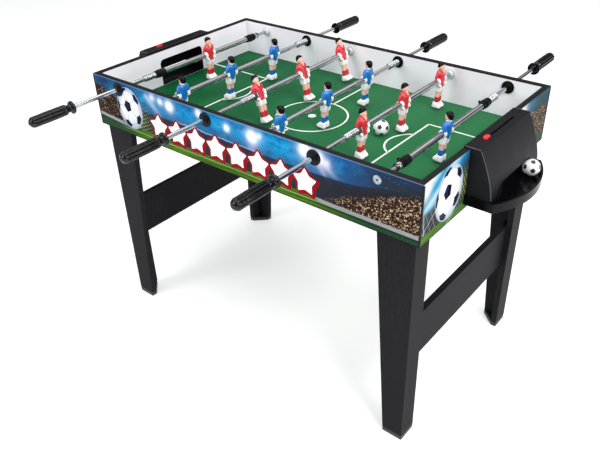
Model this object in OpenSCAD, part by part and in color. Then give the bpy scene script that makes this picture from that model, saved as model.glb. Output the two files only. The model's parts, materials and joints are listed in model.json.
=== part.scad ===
// Foosball table with telescopic rods, on four L-section legs.
// Floor at z = 0, X along the cabinet, Y across it (the rods run along Y), +Z up.

/* [Cabinet] */
// Length of the cabinet along X
cab_l = 920; // [900:5:940]
// Width of the cabinet along Y
cab_w = 546; // [540:2:552]
// Height of the rim above the floor
rim_z = 672; // [640:4:720]
// Height of the printed side panels, trim included
side_h = 132; // [126:2:140]
// Thickness of the side and end panels
wall_t = 13; // [12:0.5:14]
// Thickness of the plastic strip on the rim
trim_t = 3; // [2:0.5:4]
// Depth of the playfield surface below the rim
field_d = 93; // [90:1:96]
// Thickness of the playfield board
field_t = 6; // [4:1:8]

/* [Goals] */
// Width of a goal mouth
goal_w = 150; // [130:5:160]
// Height of a goal mouth above the playfield
goal_h = 68; // [60:1:70]
// Width of the ball-return hood
hood_w = 216; // [210:2:220]
// Height of the exit arch above the tray rim
arch_h = 22; // [20:1:26]

/* [Legs] */
// Width of a leg's front board at the cabinet
leg_top_w = 87; // [80:1:92]
// Width of a leg's front board at the floor
leg_foot_w = 50; // [44:1:60]
// Thickness of the leg boards
leg_t = 15; // [13:1:16]
// Width of a leg's side board
leg_side_w = 50; // [44:1:56]
// Height of the black foot pads
pad_h = 12; // [8:1:16]
// Height of the stretcher boards' lower edge
stretch_z = 202; // [180:2:230]
// Width of the stretcher boards
stretch_h = 115; // [90:5:120]

/* [Rods] */
// Distance between rods
rod_pitch = 147.2; // [144:0.4:148]
// Depth of the rod axes below the rim
rod_d = 21; // [20:0.5:23]
// Radius of the handle-side rod
rod_r = 5.25; // [5:0.05:5.4]
// Radius of the player tube
tube_r = 6.7; // [6.5:0.1:7]
// Radius of the guide rod inside the tube
guide_r = 4; // [3.8:0.1:4.2]
// Running clearance on the radius
run_c = 0.06; // [0.03:0.01:0.09]
// Distance between players on a three-man rod
man_pitch = 161; // [156:1:164]
// Length of a handle
grip_l = 112; // [104:2:120]
// Radius of a handle
grip_r = 12.4; // [11:0.2:13]

/* [Balls] */
// Radius of a ball
ball_r = 18; // [16:0.5:18]

/* [Hidden] */
$fn = 48;
eps = 0.3;                      // assembly gap between separate boards
g = 0.2;                        // small fitting gap
hl = cab_l / 2;                 // half length
hw = cab_w / 2;                 // half width
il = hl - wall_t;               // inner half length
iw = hw - wall_t;               // inner half width
base_z = rim_z - side_h;        // underside of the panels
panel_top = rim_z - trim_t;
field_z = rim_z - field_d;      // playing surface
rod_z = rim_z - rod_d;
// Rod facts by index 0 to 5, left to right. "out" is the distance from the
// centre line towards that rod's own handle.
rod_side = [-1, 1, -1, 1, -1, 1];            // handle side, along Y
rod_mid = [-28, -42, -59.5, -40, -49, -28];  // out position of the middle player
rod_tilt = [0, -8, 16, -7, -2, -7];          // feet towards +X, degrees
rod_end = [513, 503, 500, 503, 498, 513];    // out position of the handle's end
function keeper(i) = (i == 0 || i == 5);
function rod_x(i) = (i - 2.5) * rod_pitch;
function men(i) = keeper(i) ? [rod_mid[i]] : [for (k = [-1, 0, 1]) rod_mid[i] + k * man_pitch];
// out position of the tube's handle-side end and of its open end
function step_u(i) = keeper(i) ? 160 : rod_mid[i] + man_pitch + 18.5;
function open_u(i) = keeper(i) ? -216 : rod_mid[i] - man_pitch - 18.5;
guide_in = -60;                 // inner end of the guide rods
cup_h = 10;                     // depth of the rod end cups
spring_l = 44;                  // length of the bumper springs
spring_lk = 35;                 // the same on the goalkeepers' rods
// Leg facts
leg_x = hl - 11;                // outer face of the side boards
leg_y = hw - 9;                 // outer face of the front boards
tongue_top = field_z - field_t - 3;
// Hood and tray facts, as distances outward from the centre along X
hood_t = 3;
tray_top = rim_z - 98;
tray_floor = rim_z - 112.3;
tray_bot = rim_z - 118;
tray_x = 557;                   // outermost point of the tray
tray_w = 112;                   // half width of the tray
tray_c = 521;                   // where the tray's bowed edge begins
ball_y = 62;

module along(s) rotate([-90 * s, 0, 0]) children();
module at_rod(i) translate([rod_x(i), 0, rod_z]) along(rod_side[i]) children();
module tilted(i) translate([rod_x(i), 0, rod_z]) rotate([0, -rod_tilt[i], 0]) children();
module flip(sx, sy) mirror([sx > 0 ? 0 : 1, 0, 0]) mirror([0, sy > 0 ? 0 : 1, 0]) children();
module prism_x(p, h) rotate([90, 0, 90]) linear_extrude(h, center = true) polygon(p);
module prism_y(p, h) rotate([90, 0, 0]) linear_extrude(h, center = true) polygon(p);

// ---- cabinet -------------------------------------------------------------

module side_board(s) difference() {
  translate([-hl, s > 0 ? iw : -hw, base_z]) cube([cab_l, wall_t, panel_top - base_z]);
  for (i = [0:5]) if (rod_side[i] == s)
    translate([rod_x(i), s * hw, rod_z]) rotate([90, 0, 0]) cylinder(r = 8.5, h = 3 * wall_t, center = true);
  for (sx = [-1, 1]) leg_bolt_y(sx, s, 3.1);
}
module end_board(s) difference() {
  translate([s > 0 ? il : -hl, -iw + g / 2, base_z]) cube([wall_t, 2 * iw - g, panel_top - base_z]);
  // goal mouth with round top corners
  translate([s * hl, 0, 0]) rotate([90, 0, 90]) linear_extrude(4 * wall_t, center = true) union() {
    translate([-goal_w / 2, field_z]) square([goal_w, goal_h - 12]);
    translate([-goal_w / 2 + 12, field_z]) square([goal_w - 24, goal_h]);
    for (k = [-1, 1]) translate([k * (goal_w / 2 - 12), field_z + goal_h - 12]) circle(r = 12);
  }
  for (sy = [-1, 1]) leg_bolt_x(s, sy, 3.1);
  for (sy = [-1, 1]) tray_screw(s, sy, 2.05);
}
module front_panel() color([0.16, 0.34, 0.62]) side_board(-1);
module rear_panel() color([0.16, 0.34, 0.62]) side_board(1);
module left_end_panel() color([0.2, 0.42, 0.66]) end_board(-1);
module right_end_panel() color([0.2, 0.42, 0.66]) end_board(1);
module playfield_board() color([0.16, 0.5, 0.3])
  translate([-il + g, -iw + g, field_z - field_t]) cube([2 * il - 2 * g, 2 * iw - 2 * g, field_t]);
module rim_trim() color([0.15, 0.15, 0.17]) {
  for (s = [-1, 1]) translate([-hl, s > 0 ? iw : -hw, panel_top]) cube([cab_l, wall_t, trim_t]);
  for (s = [-1, 1]) translate([s > 0 ? il : -hl, -iw + g, panel_top]) cube([wall_t, 2 * iw - 2 * g, trim_t]);
}
module field_battens() color([0.72, 0.58, 0.4]) {
  for (s = [-1, 1]) translate([-376, s > 0 ? iw - 15 : -iw + g, base_z + 17]) cube([752, 15 - g, field_z - field_t - base_z - 17 - g]);
  for (x = [-147, 147]) translate([x - 10, -iw + 15.4, base_z + 17]) cube([20, 2 * iw - 30.8, field_z - field_t - base_z - 17 - g]);
}
module corner_blocks() color([0.72, 0.58, 0.4])
  for (sx = [-1, 1]) for (sy = [-1, 1]) difference() {
    flip(sx, sy) translate([leg_x - leg_t - 30, leg_y - leg_t - 30, base_z + 2]) cube([30 - g, 30 - g, 29]);
    leg_bolt_y(sx, sy, 3.1);
    leg_bolt_x(sx, sy, 3.1);
  }

// ---- legs and stretchers ---------------------------------------------------

// Shank holes and shanks of the bolts through a corner block
module leg_bolt_y(sx, sy, r) translate([sx * (leg_x - leg_t - 15), sy * (leg_y - leg_t - 30.2), base_z + 9])
  along(sy) cylinder(r = r, h = 50, $fn = 32);
module leg_bolt_x(sx, sy, r) translate([sx * (leg_x - leg_t - 30.2), sy * (leg_y - leg_t - 15), base_z + 23])
  rotate([0, 90 * sx, 0]) cylinder(r = r, h = 51, $fn = 32);
module stretch_bolt(sx, sy, k, r, h) translate([sx * (leg_x - leg_t - 14.8), sy * (leg_y - 32), stretch_z + stretch_h / 2 + k * 26])
  rotate([0, 90 * sx, 0]) cylinder(r = r, h = h, $fn = 32);
// Leg at the corner given by the signs; drawn for +X +Y and mirrored
module leg(sx, sy) color([0.22, 0.21, 0.23]) difference() {
  flip(sx, sy) union() {
    // tapered front board
    translate([0, leg_y - leg_t / 2, 0]) prism_y([[leg_x, pad_h], [leg_x, base_z], [leg_x - leg_top_w, base_z],
      [leg_x - leg_foot_w, pad_h]], leg_t);
    // side board
    translate([leg_x - leg_t, leg_y - leg_side_w, pad_h]) cube([leg_t, leg_side_w - leg_t + 1, base_z - pad_h]);
    // tongue inside the cabinet
    translate([leg_x - leg_top_w + 18, leg_y - leg_t, base_z - 1]) cube([il - g - (leg_x - leg_top_w + 18), iw - g - (leg_y - leg_t), tongue_top - base_z + 1]);
    translate([leg_x - leg_t, leg_y - leg_side_w, base_z - 1]) cube([il - g - (leg_x - leg_t), leg_side_w - leg_t + 1, tongue_top - base_z + 1]);
  }
  leg_bolt_y(sx, sy, 3.1);
  leg_bolt_x(sx, sy, 3.1);
  for (k = [-1, 1]) stretch_bolt(sx, sy, k, 2.6, 27);
}
module leg_front_left() leg(-1, -1);
module leg_front_right() leg(1, -1);
module leg_rear_left() leg(-1, 1);
module leg_rear_right() leg(1, 1);
module foot_pads() color([0.06, 0.06, 0.07]) for (sx = [-1, 1]) for (sy = [-1, 1]) flip(sx, sy)
  linear_extrude(pad_h) polygon([[leg_x, leg_y], [leg_x, leg_y - leg_side_w], [leg_x - leg_t + 2, leg_y - leg_side_w],
    [leg_x - leg_foot_w, leg_y - leg_t - 1], [leg_x - leg_foot_w, leg_y]]);
module stretcher(s) color([0.22, 0.21, 0.23]) difference() {
  translate([s > 0 ? leg_x - leg_t - 14.8 : -(leg_x - leg_t - g), -(leg_y - leg_t - g), stretch_z])
    cube([14.6, 2 * (leg_y - leg_t - g), stretch_h]);
  for (sy = [-1, 1]) for (k = [-1, 1]) stretch_bolt(s, sy, k, 2.6, 27);
}
module stretcher_left() stretcher(-1);
module stretcher_right() stretcher(1);
module frame_bolts() color([0.6, 0.6, 0.62]) for (sx = [-1, 1]) for (sy = [-1, 1]) {
  union() {
    leg_bolt_y(sx, sy, 3);
    translate([sx * (leg_x - leg_t - 15), sy * (leg_y - leg_t - 34.2), base_z + 9]) along(sy) cylinder(r = 5.8, h = 4, $fn = 6);
  }
  union() {
    leg_bolt_x(sx, sy, 3);
    translate([sx * (leg_x - leg_t - 34.2), sy * (leg_y - leg_t - 15), base_z + 23]) rotate([0, 90 * sx, 0]) cylinder(r = 5.8, h = 4, $fn = 6);
  }
  for (k = [-1, 1]) union() {
    stretch_bolt(sx, sy, k, 2.5, 26);
    translate([sx * (leg_x - leg_t - 17.8), sy * (leg_y - 32), stretch_z + stretch_h / 2 + k * 26]) rotate([0, 90 * sx, 0]) cylinder(r = 5, h = 3);
  }
}

// ---- ball return ------------------------------------------------------------

// Front curve of the hood, set in by d: x runs outward, z down from the rim
hood_top = rim_z + hood_t + g;
function front_curve(d) = [for (t = [0:0.1:1.001]) [482 - d + 32 * (1 - pow(max(1 - t, 0), 1.6)),
  hood_top - d * (1 - t) - (hood_top - tray_top) * t]];
module hood(s) color([0.13, 0.13, 0.15]) flip(s, 1) difference() {
  prism_y(concat(front_curve(0), [[hl + eps, tray_top], [hl + eps, rim_z + g], [il, rim_z + g], [il, hood_top]]), hood_w);
  // hollow inside, open to the goal and to the tray
  difference() {
    prism_y(concat(front_curve(hood_t), [[514 - hood_t, tray_top - 2], [hl - 3, tray_top - 2], [hl - 3, hood_top - hood_t]]),
      hood_w - 2 * hood_t);
  }
  // exit arch
  translate([500, 0, 0]) rotate([90, 0, 90]) linear_extrude(60, center = true) union() {
    translate([-84, tray_top - 5]) square([168, arch_h - 24 + 5]);
    translate([-60, tray_top - 5]) square([120, arch_h + 5]);
    for (k = [-1, 1]) intersection() {
      translate([k * 60, tray_top + arch_h - 24]) circle(r = 24);
      translate([k * 60 - 30, tray_top - 5]) square([60, 60]);
    }
  }
  // slot for the score slider
  translate([464, -66, rim_z - 8]) cube([4, 132, 20]);
}
module goal_hood_left() hood(-1);
module goal_hood_right() hood(1);

tray_rad = (tray_w * tray_w + (tray_x - tray_c) * (tray_x - tray_c)) / (2 * (tray_x - tray_c));
tray_a = asin(tray_w / tray_rad);
function tray_plan(d) = concat([for (k = [-8:8]) let (a = k / 8 * asin((tray_w - d) / (tray_rad - d)))
  [tray_x - tray_rad + (tray_rad - d) * cos(a), (tray_rad - d) * sin(a)]], [[hl + eps + (d > 0 ? 3 : 0), tray_w - d], [hl + eps + (d > 0 ? 3 : 0), -tray_w + d]]);
module tray(s) color([0.1, 0.1, 0.12]) flip(s, 1) difference() {
  union() {
    translate([0, 0, tray_bot]) linear_extrude(tray_top - g - tray_bot) polygon(tray_plan(0));
    translate([hl + eps, -60, base_z + 2]) cube([3, 120, 20]);
  }
  translate([0, 0, tray_floor]) linear_extrude(40) polygon(tray_plan(4));
  translate([0, 0, tray_bot - 1]) linear_extrude(tray_floor - 2.5 - tray_bot + 1) difference() {
    polygon(tray_plan(2.5));
    translate([hl - 5, -130]) square([9, 260]);
  }
  for (sy = [-1, 1]) tray_screw(1, sy, 2.3);
}
module ball_tray_left() tray(-1);
module ball_tray_right() tray(1);
module tray_screw(s, sy, r) translate([s * (hl - 10), sy * 100, rim_z - 105.5]) rotate([0, 90 * s, 0]) cylinder(r = r, h = 14, $fn = 32);
module tray_screws() color([0.6, 0.6, 0.62]) for (s = [-1, 1]) for (sy = [-1, 1]) union() {
  tray_screw(s, sy, 2);
  translate([s * (hl + eps + 3.1), sy * 100, rim_z - 105.5]) rotate([0, 90 * s, 0]) cylinder(r = 4, h = 2.4, $fn = 32);
}
module score_slider(s) color([0.85, 0.12, 0.12]) translate([s * 466, -55, rim_z + 3.5]) {
  intersection() {
    linear_extrude(3.2) scale(1) union() {
      for (k = [-1, 1]) translate([0, k * 4.5]) circle(r = 4.8);
      translate([-4.8, -4.5]) square([9.6, 9]);
    }
    translate([-10, -20, 0]) cube([20, 40, 10]);
  }
  translate([-1.7, -8, -3.8]) cube([3.4, 16, 4.2]);
  translate([-3.6, -8, -5.4]) cube([7.2, 16, 1.8]);
}
module score_slider_left() score_slider(-1);
module score_slider_right() score_slider(1);
module match_ball() color("white") translate([190, 9, field_z + ball_r + eps]) sphere(r = ball_r, $fn = 64);
module spare_ball() color("white") translate([521, ball_y, tray_floor + ball_r + eps]) sphere(r = ball_r, $fn = 64);

// ---- rod bearings -------------------------------------------------------------

// Outer flange with its hub through the wall, and the flange on the inner face
module rod_bushings() color([0.08, 0.08, 0.09]) for (i = [0:5]) at_rod(i) {
  difference() {
    union() {
      translate([0, 0, hw]) cylinder(r = 16.5, h = 3);
      translate([0, 0, hw]) cylinder(r = 10, h = 6);
      translate([0, 0, iw + 0.1]) cylinder(r = 8.45, h = wall_t + 1);
    }
    translate([0, 0, iw - 10]) cylinder(r = rod_r + run_c, h = 60);
  }
  difference() {
    translate([0, 0, iw - 3]) cylinder(r = 15, h = 3);
    translate([0, 0, iw - 10]) cylinder(r = rod_r + run_c, h = 60);
  }
}
module rod_end_cups() color([0.75, 0.76, 0.78]) for (i = [0:5]) at_rod(i) difference() {
  union() {
    translate([0, 0, -iw]) cylinder(r = 13, h = 2.5);
    translate([0, 0, -iw]) cylinder(r = 9, h = cup_h);
  }
  translate([0, 0, -iw + 1]) cylinder(r = guide_r + run_c, h = cup_h);
}

// ---- rods ----------------------------------------------------------------------

module guide(i) color([0.72, 0.73, 0.76]) at_rod(i)
  translate([0, 0, -iw + 1.2]) cylinder(r = guide_r, h = guide_in + iw - 1.2);
// Handle-side rod fixed in the player tube, which is bored for the guide rod
module tube(i) color([0.78, 0.79, 0.82]) at_rod(i) difference() {
  union() {
    translate([0, 0, step_u(i) - 10]) cylinder(r = rod_r, h = rod_end[i] - 6 - step_u(i) + 10);
    translate([0, 0, open_u(i)]) cylinder(r = tube_r, h = step_u(i) - open_u(i));
    if (keeper(i)) translate([0, 0, open_u(i)]) cylinder(r = tube_r + 0.7, h = 12);
  }
  translate([0, 0, open_u(i) - 1]) cylinder(r = guide_r + run_c, h = step_u(i) - 26 - open_u(i) + 1);
}
// Handle: flange, neck, barrel and domed end, turned about the rod
module grip(i) color([0.05, 0.05, 0.06]) at_rod(i) translate([0, 0, rod_end[i] - grip_l]) difference() {
  rotate_extrude() polygon(concat([[0, 0], [14.5, 0], [15, 1.5], [15, 4], [13, 5.5], [9.2, 6.5], [9.2, 11],
    [grip_r - 1, 13], [grip_r, 16], [grip_r + 0.4, grip_l * 0.55]],
    [for (a = [0:15:90]) [grip_r * cos(a), grip_l - 9 + 9 * sin(a)]]));
  translate([0, 0, -1]) cylinder(r = rod_r + 0.02, h = grip_l - 6 + 1.1);
}
// Ribbed bumper spring around the handle-side rod
function ribs(l, n) = concat([[rod_r + 0.35, 0]], [for (k = [0:n - 1]) each [[6.3, l * k / n], [7.6, l * (k + 0.5) / n]]],
  [[6.3, l], [rod_r + 0.35, l]]);
module spring(i) color([0.7, 0.71, 0.74]) at_rod(i) {
  l = keeper(i) ? spring_lk : spring_l;
  translate([0, 0, rod_side[i] > 0 && !keeper(i) ? iw - 3 - l - 0.2 : step_u(i) + 0.4]) rotate_extrude() polygon(ribs(l, 12));
}
// Black stop collars of a goalkeeper's rod, each with its clamp screw boss
module bumpers(i) color([0.08, 0.08, 0.09]) for (u = [-203, 128]) difference() {
  union() {
    at_rod(i) translate([0, 0, u]) cylinder(r = 10, h = 31);
    tilted(i) translate([0, rod_side[i] * (u + 15.5), 0]) rotate([0, -90, 0]) cylinder(r = 3, h = 15);
  }
  at_rod(i) translate([0, 0, u - 1]) cylinder(r = tube_r + 0.02, h = 33);
}
// One player, facing +X, rod axis at the origin
function mirror_y(p) = concat(p, [for (k = [len(p) - 1:-1:0]) [-p[k][0], p[k][1]]]);
module player() difference() {
  union() {
    intersection() {
      prism_x(mirror_y([[12.5, -66], [12.5, -57], [9.5, -53], [9.5, -38], [10.5, -24], [13, -23], [13, -12], [17.3, -11],
        [18, 6], [16.5, 20], [10.5, 25.5], [4.8, 27], [4.6, 31]]), 60);
      prism_y([[13.5, -66], [14, -62], [8, -56], [6.5, -52], [6.8, -38], [7.6, -24], [9, -23], [9.4, -8], [9.2, 2], [10.5, 12],
        [8.5, 22], [5, 27], [4.8, 31], [-5, 31], [-6, 26], [-9, 20], [-9.6, 8], [-8.8, -6], [-9.4, -14], [-8.6, -23],
        [-7.4, -24], [-6.8, -38], [-6.5, -52], [-8.5, -57], [-9, -66]], 60);
    }
    translate([0.3, 0, 35.3]) sphere(r = 9.8, $fn = 40);
  }
  rotate([90, 0, 0]) cylinder(r = tube_r + 0.02, h = 80, center = true);
}
module players(i) color(rod_side[i] > 0 ? [0.1, 0.35, 0.75] : [0.85, 0.16, 0.2])
  for (u = men(i)) tilted(i) translate([0, rod_side[i] * u, 0]) rotate([0, 0, rod_side[i] > 0 ? 180 : 0]) player();

module rod1_guide() guide(0);
module rod1_tube() tube(0);
module rod1_grip() grip(0);
module rod1_players() players(0);
module rod1_spring() spring(0);
module rod1_bumpers() bumpers(0);
module rod2_guide() guide(1);
module rod2_tube() tube(1);
module rod2_grip() grip(1);
module rod2_players() players(1);
module rod2_spring() spring(1);
module rod3_guide() guide(2);
module rod3_tube() tube(2);
module rod3_grip() grip(2);
module rod3_players() players(2);
module rod3_spring() spring(2);
module rod4_guide() guide(3);
module rod4_tube() tube(3);
module rod4_grip() grip(3);
module rod4_players() players(3);
module rod4_spring() spring(3);
module rod5_guide() guide(4);
module rod5_tube() tube(4);
module rod5_grip() grip(4);
module rod5_players() players(4);
module rod5_spring() spring(4);
module rod6_guide() guide(5);
module rod6_tube() tube(5);
module rod6_grip() grip(5);
module rod6_players() players(5);
module rod6_spring() spring(5);
module rod6_bumpers() bumpers(5);

front_panel();
rear_panel();
left_end_panel();
right_end_panel();
playfield_board();
rim_trim();
field_battens();
corner_blocks();
leg_front_left();
leg_front_right();
leg_rear_left();
leg_rear_right();
foot_pads();
stretcher_left();
stretcher_right();
frame_bolts();
tray_screws();
goal_hood_left();
goal_hood_right();
ball_tray_left();
ball_tray_right();
score_slider_left();
score_slider_right();
rod_bushings();
rod_end_cups();
match_ball();
spare_ball();
rod1_guide();
rod1_tube();
rod1_grip();
rod1_players();
rod1_spring();
rod1_bumpers();
rod2_guide();
rod2_tube();
rod2_grip();
rod2_players();
rod2_spring();
rod3_guide();
rod3_tube();
rod3_grip();
rod3_players();
rod3_spring();
rod4_guide();
rod4_tube();
rod4_grip();
rod4_players();
rod4_spring();
rod5_guide();
rod5_tube();
rod5_grip();
rod5_players();
rod5_spring();
rod6_guide();
rod6_tube();
rod6_grip();
rod6_players();
rod6_spring();
rod6_bumpers();
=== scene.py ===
import bpy, bmesh, math, json
from mathutils import Vector, Matrix

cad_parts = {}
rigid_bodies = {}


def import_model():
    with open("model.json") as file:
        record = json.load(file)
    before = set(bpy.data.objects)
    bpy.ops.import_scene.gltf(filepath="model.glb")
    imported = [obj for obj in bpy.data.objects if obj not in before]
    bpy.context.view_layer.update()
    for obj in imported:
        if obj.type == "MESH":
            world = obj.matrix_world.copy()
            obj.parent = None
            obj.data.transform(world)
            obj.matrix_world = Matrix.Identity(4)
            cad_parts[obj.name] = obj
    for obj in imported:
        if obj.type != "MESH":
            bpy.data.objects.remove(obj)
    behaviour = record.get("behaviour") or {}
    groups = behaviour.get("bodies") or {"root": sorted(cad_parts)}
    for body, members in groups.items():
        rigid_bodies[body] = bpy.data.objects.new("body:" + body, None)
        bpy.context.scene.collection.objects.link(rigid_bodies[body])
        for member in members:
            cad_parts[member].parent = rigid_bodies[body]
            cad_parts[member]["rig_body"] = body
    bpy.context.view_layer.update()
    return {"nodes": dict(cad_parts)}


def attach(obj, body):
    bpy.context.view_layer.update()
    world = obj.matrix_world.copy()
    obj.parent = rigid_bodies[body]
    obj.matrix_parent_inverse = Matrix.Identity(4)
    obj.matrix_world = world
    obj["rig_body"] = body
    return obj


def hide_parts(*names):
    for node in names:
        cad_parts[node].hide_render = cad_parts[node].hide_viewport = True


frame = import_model()
NODES = frame["nodes"]
MM = 0.001

# ---------------------------------------------------------------- dimensions, in mm, as in part.scad
L, W, RIM = 920.0, 546.0, 672.0
HL, HW, WALL = L / 2, W / 2, 13.0
IL, IW = HL - WALL, HW - WALL
BASE, FIELD, RODZ = RIM - 132, RIM - 93, RIM - 21
PITCH = 147.2
SIDE = [-1, 1, -1, 1, -1, 1]
MID = [-28, -42, -59.5, -40, -49, -28]
TILT = [0, -8, 16, -7, -2, -7]
END = [513, 503, 500, 503, 498, 513]
MAN = 161
ROD_R, TUBE_R, GUIDE_R = 5.25, 6.7, 4.0
keeper = lambda i: i in (0, 5)
rod_x = lambda i: (i - 2.5) * PITCH
men = lambda i: [MID[i]] if keeper(i) else [MID[i] + k * MAN for k in (-1, 0, 1)]
step_u = lambda i: 160 if keeper(i) else MID[i] + MAN + 18.5
open_u = lambda i: -216 if keeper(i) else MID[i] - MAN - 18.5


# ---------------------------------------------------------------- node helpers
class Tree:
    """Short names for shader nodes. Inputs are numbers or sockets."""
    def __init__(self, mat):
        mat.use_nodes = True
        self.t = mat.node_tree
        self.t.nodes.clear()
        self.out = self.t.nodes.new("ShaderNodeOutputMaterial")

    def put(self, sock, v):
        if isinstance(v, bpy.types.NodeSocket):
            self.t.links.new(v, sock)
        elif v is not None:
            if hasattr(sock.default_value, "__len__") and hasattr(v, "__len__") and len(v) == 3 and len(sock.default_value) == 4:
                v = (*v, 1.0)
            sock.default_value = v

    def m(self, op, a, b=None, c=None, clamp=False):
        n = self.t.nodes.new("ShaderNodeMath")
        n.operation, n.use_clamp = op, clamp
        for k, v in enumerate((a, b, c)):
            if v is not None:
                self.put(n.inputs[k], v)
        return n.outputs[0]

    def add(self, a, b): return self.m("ADD", a, b)
    def sub(self, a, b): return self.m("SUBTRACT", a, b)
    def mul(self, a, b): return self.m("MULTIPLY", a, b)

    def step(self, x, lo, hi, smooth=True):
        n = self.t.nodes.new("ShaderNodeMapRange")
        n.interpolation_type = "SMOOTHSTEP" if smooth else "LINEAR"
        n.clamp = True
        flip = lo > hi
        if flip:
            lo, hi = hi, lo
        self.put(n.inputs["Value"], x)
        n.inputs["From Min"].default_value, n.inputs["From Max"].default_value = lo, hi
        n.inputs["To Min"].default_value, n.inputs["To Max"].default_value = (1, 0) if flip else (0, 1)
        return n.outputs["Result"]

    def remap(self, x, a, b, c, d):
        n = self.t.nodes.new("ShaderNodeMapRange")
        self.put(n.inputs["Value"], x)
        for k, v in zip(("From Min", "From Max", "To Min", "To Max"), (a, b, c, d)):
            n.inputs[k].default_value = v
        return n.outputs["Result"]

    def coords(self, scale=None, loc=None):
        n = self.t.nodes.new("ShaderNodeTexCoord")
        v = n.outputs["Object"]
        if scale or loc:
            p = self.t.nodes.new("ShaderNodeMapping")
            self.t.links.new(v, p.inputs["Vector"])
            if scale:
                p.inputs["Scale"].default_value = scale
            if loc:
                p.inputs["Location"].default_value = loc
            v = p.outputs["Vector"]
        return v

    def xyz(self, v):
        n = self.t.nodes.new("ShaderNodeSeparateXYZ")
        self.put(n.inputs[0], v)
        return n.outputs[0], n.outputs[1], n.outputs[2]

    def vec(self, x, y, z):
        n = self.t.nodes.new("ShaderNodeCombineXYZ")
        for k, v in enumerate((x, y, z)):
            self.put(n.inputs[k], v)
        return n.outputs[0]

    def noise(self, v, scale, detail=3, rough=0.55, color=False):
        n = self.t.nodes.new("ShaderNodeTexNoise")
        self.put(n.inputs["Vector"], v)
        n.inputs["Scale"].default_value = scale
        n.inputs["Detail"].default_value = detail
        n.inputs["Roughness"].default_value = rough
        return n.outputs["Color" if color else "Fac"]

    def cells(self, v, scale, rand=1.0, feature="F1"):
        n = self.t.nodes.new("ShaderNodeTexVoronoi")
        n.feature = feature
        self.put(n.inputs["Vector"], v)
        n.inputs["Scale"].default_value = scale
        n.inputs["Randomness"].default_value = rand
        return n.outputs["Distance"], n.outputs["Color"]

    def mix(self, f, a, b, mode="MIX"):
        n = self.t.nodes.new("ShaderNodeMix")
        n.data_type, n.blend_type = "RGBA", mode
        self.put(n.inputs[0], f)
        self.put(n.inputs[6], a)
        self.put(n.inputs[7], b)
        return n.outputs[2]

    def ramp(self, f, stops):
        n = self.t.nodes.new("ShaderNodeValToRGB")
        e = n.color_ramp.elements
        while len(e) < len(stops):
            e.new(0.5)
        for k, (p, c) in enumerate(stops):
            e[k].position, e[k].color = p, (*c, 1)
        self.put(n.inputs[0], f)
        return n.outputs[0]

    def glow(self, x, z, cx, cz, r):
        """1 at the centre, fading to 0 at about twice r."""
        dx, dz = self.sub(x, cx), self.sub(z, cz)
        d2 = self.add(self.mul(dx, dx), self.mul(dz, dz))
        return self.m("EXPONENT", self.mul(d2, -1.0 / (r * r)))

    def bump(self, height, strength, dist, normal=None):
        n = self.t.nodes.new("ShaderNodeBump")
        n.inputs["Strength"].default_value = strength
        n.inputs["Distance"].default_value = dist
        self.put(n.inputs["Height"], height)
        if normal is not None:
            self.put(n.inputs["Normal"], normal)
        return n.outputs[0]

    def finish(self, color, rough, metal=0.0, normal=None, coat=0.0, coat_rough=0.1, spec=0.5):
        b = self.t.nodes.new("ShaderNodeBsdfPrincipled")
        self.put(b.inputs["Base Color"], color)
        self.put(b.inputs["Roughness"], rough)
        b.inputs["Metallic"].default_value = metal
        b.inputs["Coat Weight"].default_value = coat
        b.inputs["Coat Roughness"].default_value = coat_rough
        b.inputs["Specular IOR Level"].default_value = spec
        if normal is not None:
            self.put(b.inputs["Normal"], normal)
        self.t.links.new(b.outputs[0], self.out.inputs[0])
        return b


MATS = {}


def shade(c, k):
    return tuple(max(0.0, min(1.0, v * k)) for v in c)


def std(name, color, rough, metal=0.0, var=0.08, vscale=30, fine=0.0, fscale=900, rvar=0.06, coat=0.0, coat_rough=0.1,
        spec=0.5, stretch=(1, 1, 1), wear=0.0):
    """A surface with soft colour and gloss variation, and a fine grain in its bump."""
    if name in MATS:
        return MATS[name]
    mat = bpy.data.materials.new(name)
    t = Tree(mat)
    v = t.coords(scale=stretch)
    n1 = t.noise(v, vscale, 4)
    col = t.mix(t.step(n1, 0.3, 0.7), shade(color, 1 - var), shade(color, 1 + var))
    if wear:
        w = t.step(t.noise(v, vscale * 4, 6, 0.7), 0.62, 0.72)
        col = t.mix(t.mul(w, wear), col, shade(color, 1.8))
    r = t.remap(t.noise(v, vscale * 2.2, 5), 0.3, 0.7, max(0.02, rough - rvar), rough + rvar)
    nrm = None
    if fine:
        nrm = t.bump(t.noise(v, fscale, 3, 0.6), fine, 0.0006)
    t.finish(col, r, metal, nrm, coat, coat_rough, spec)
    MATS[name] = mat
    return mat


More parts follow.
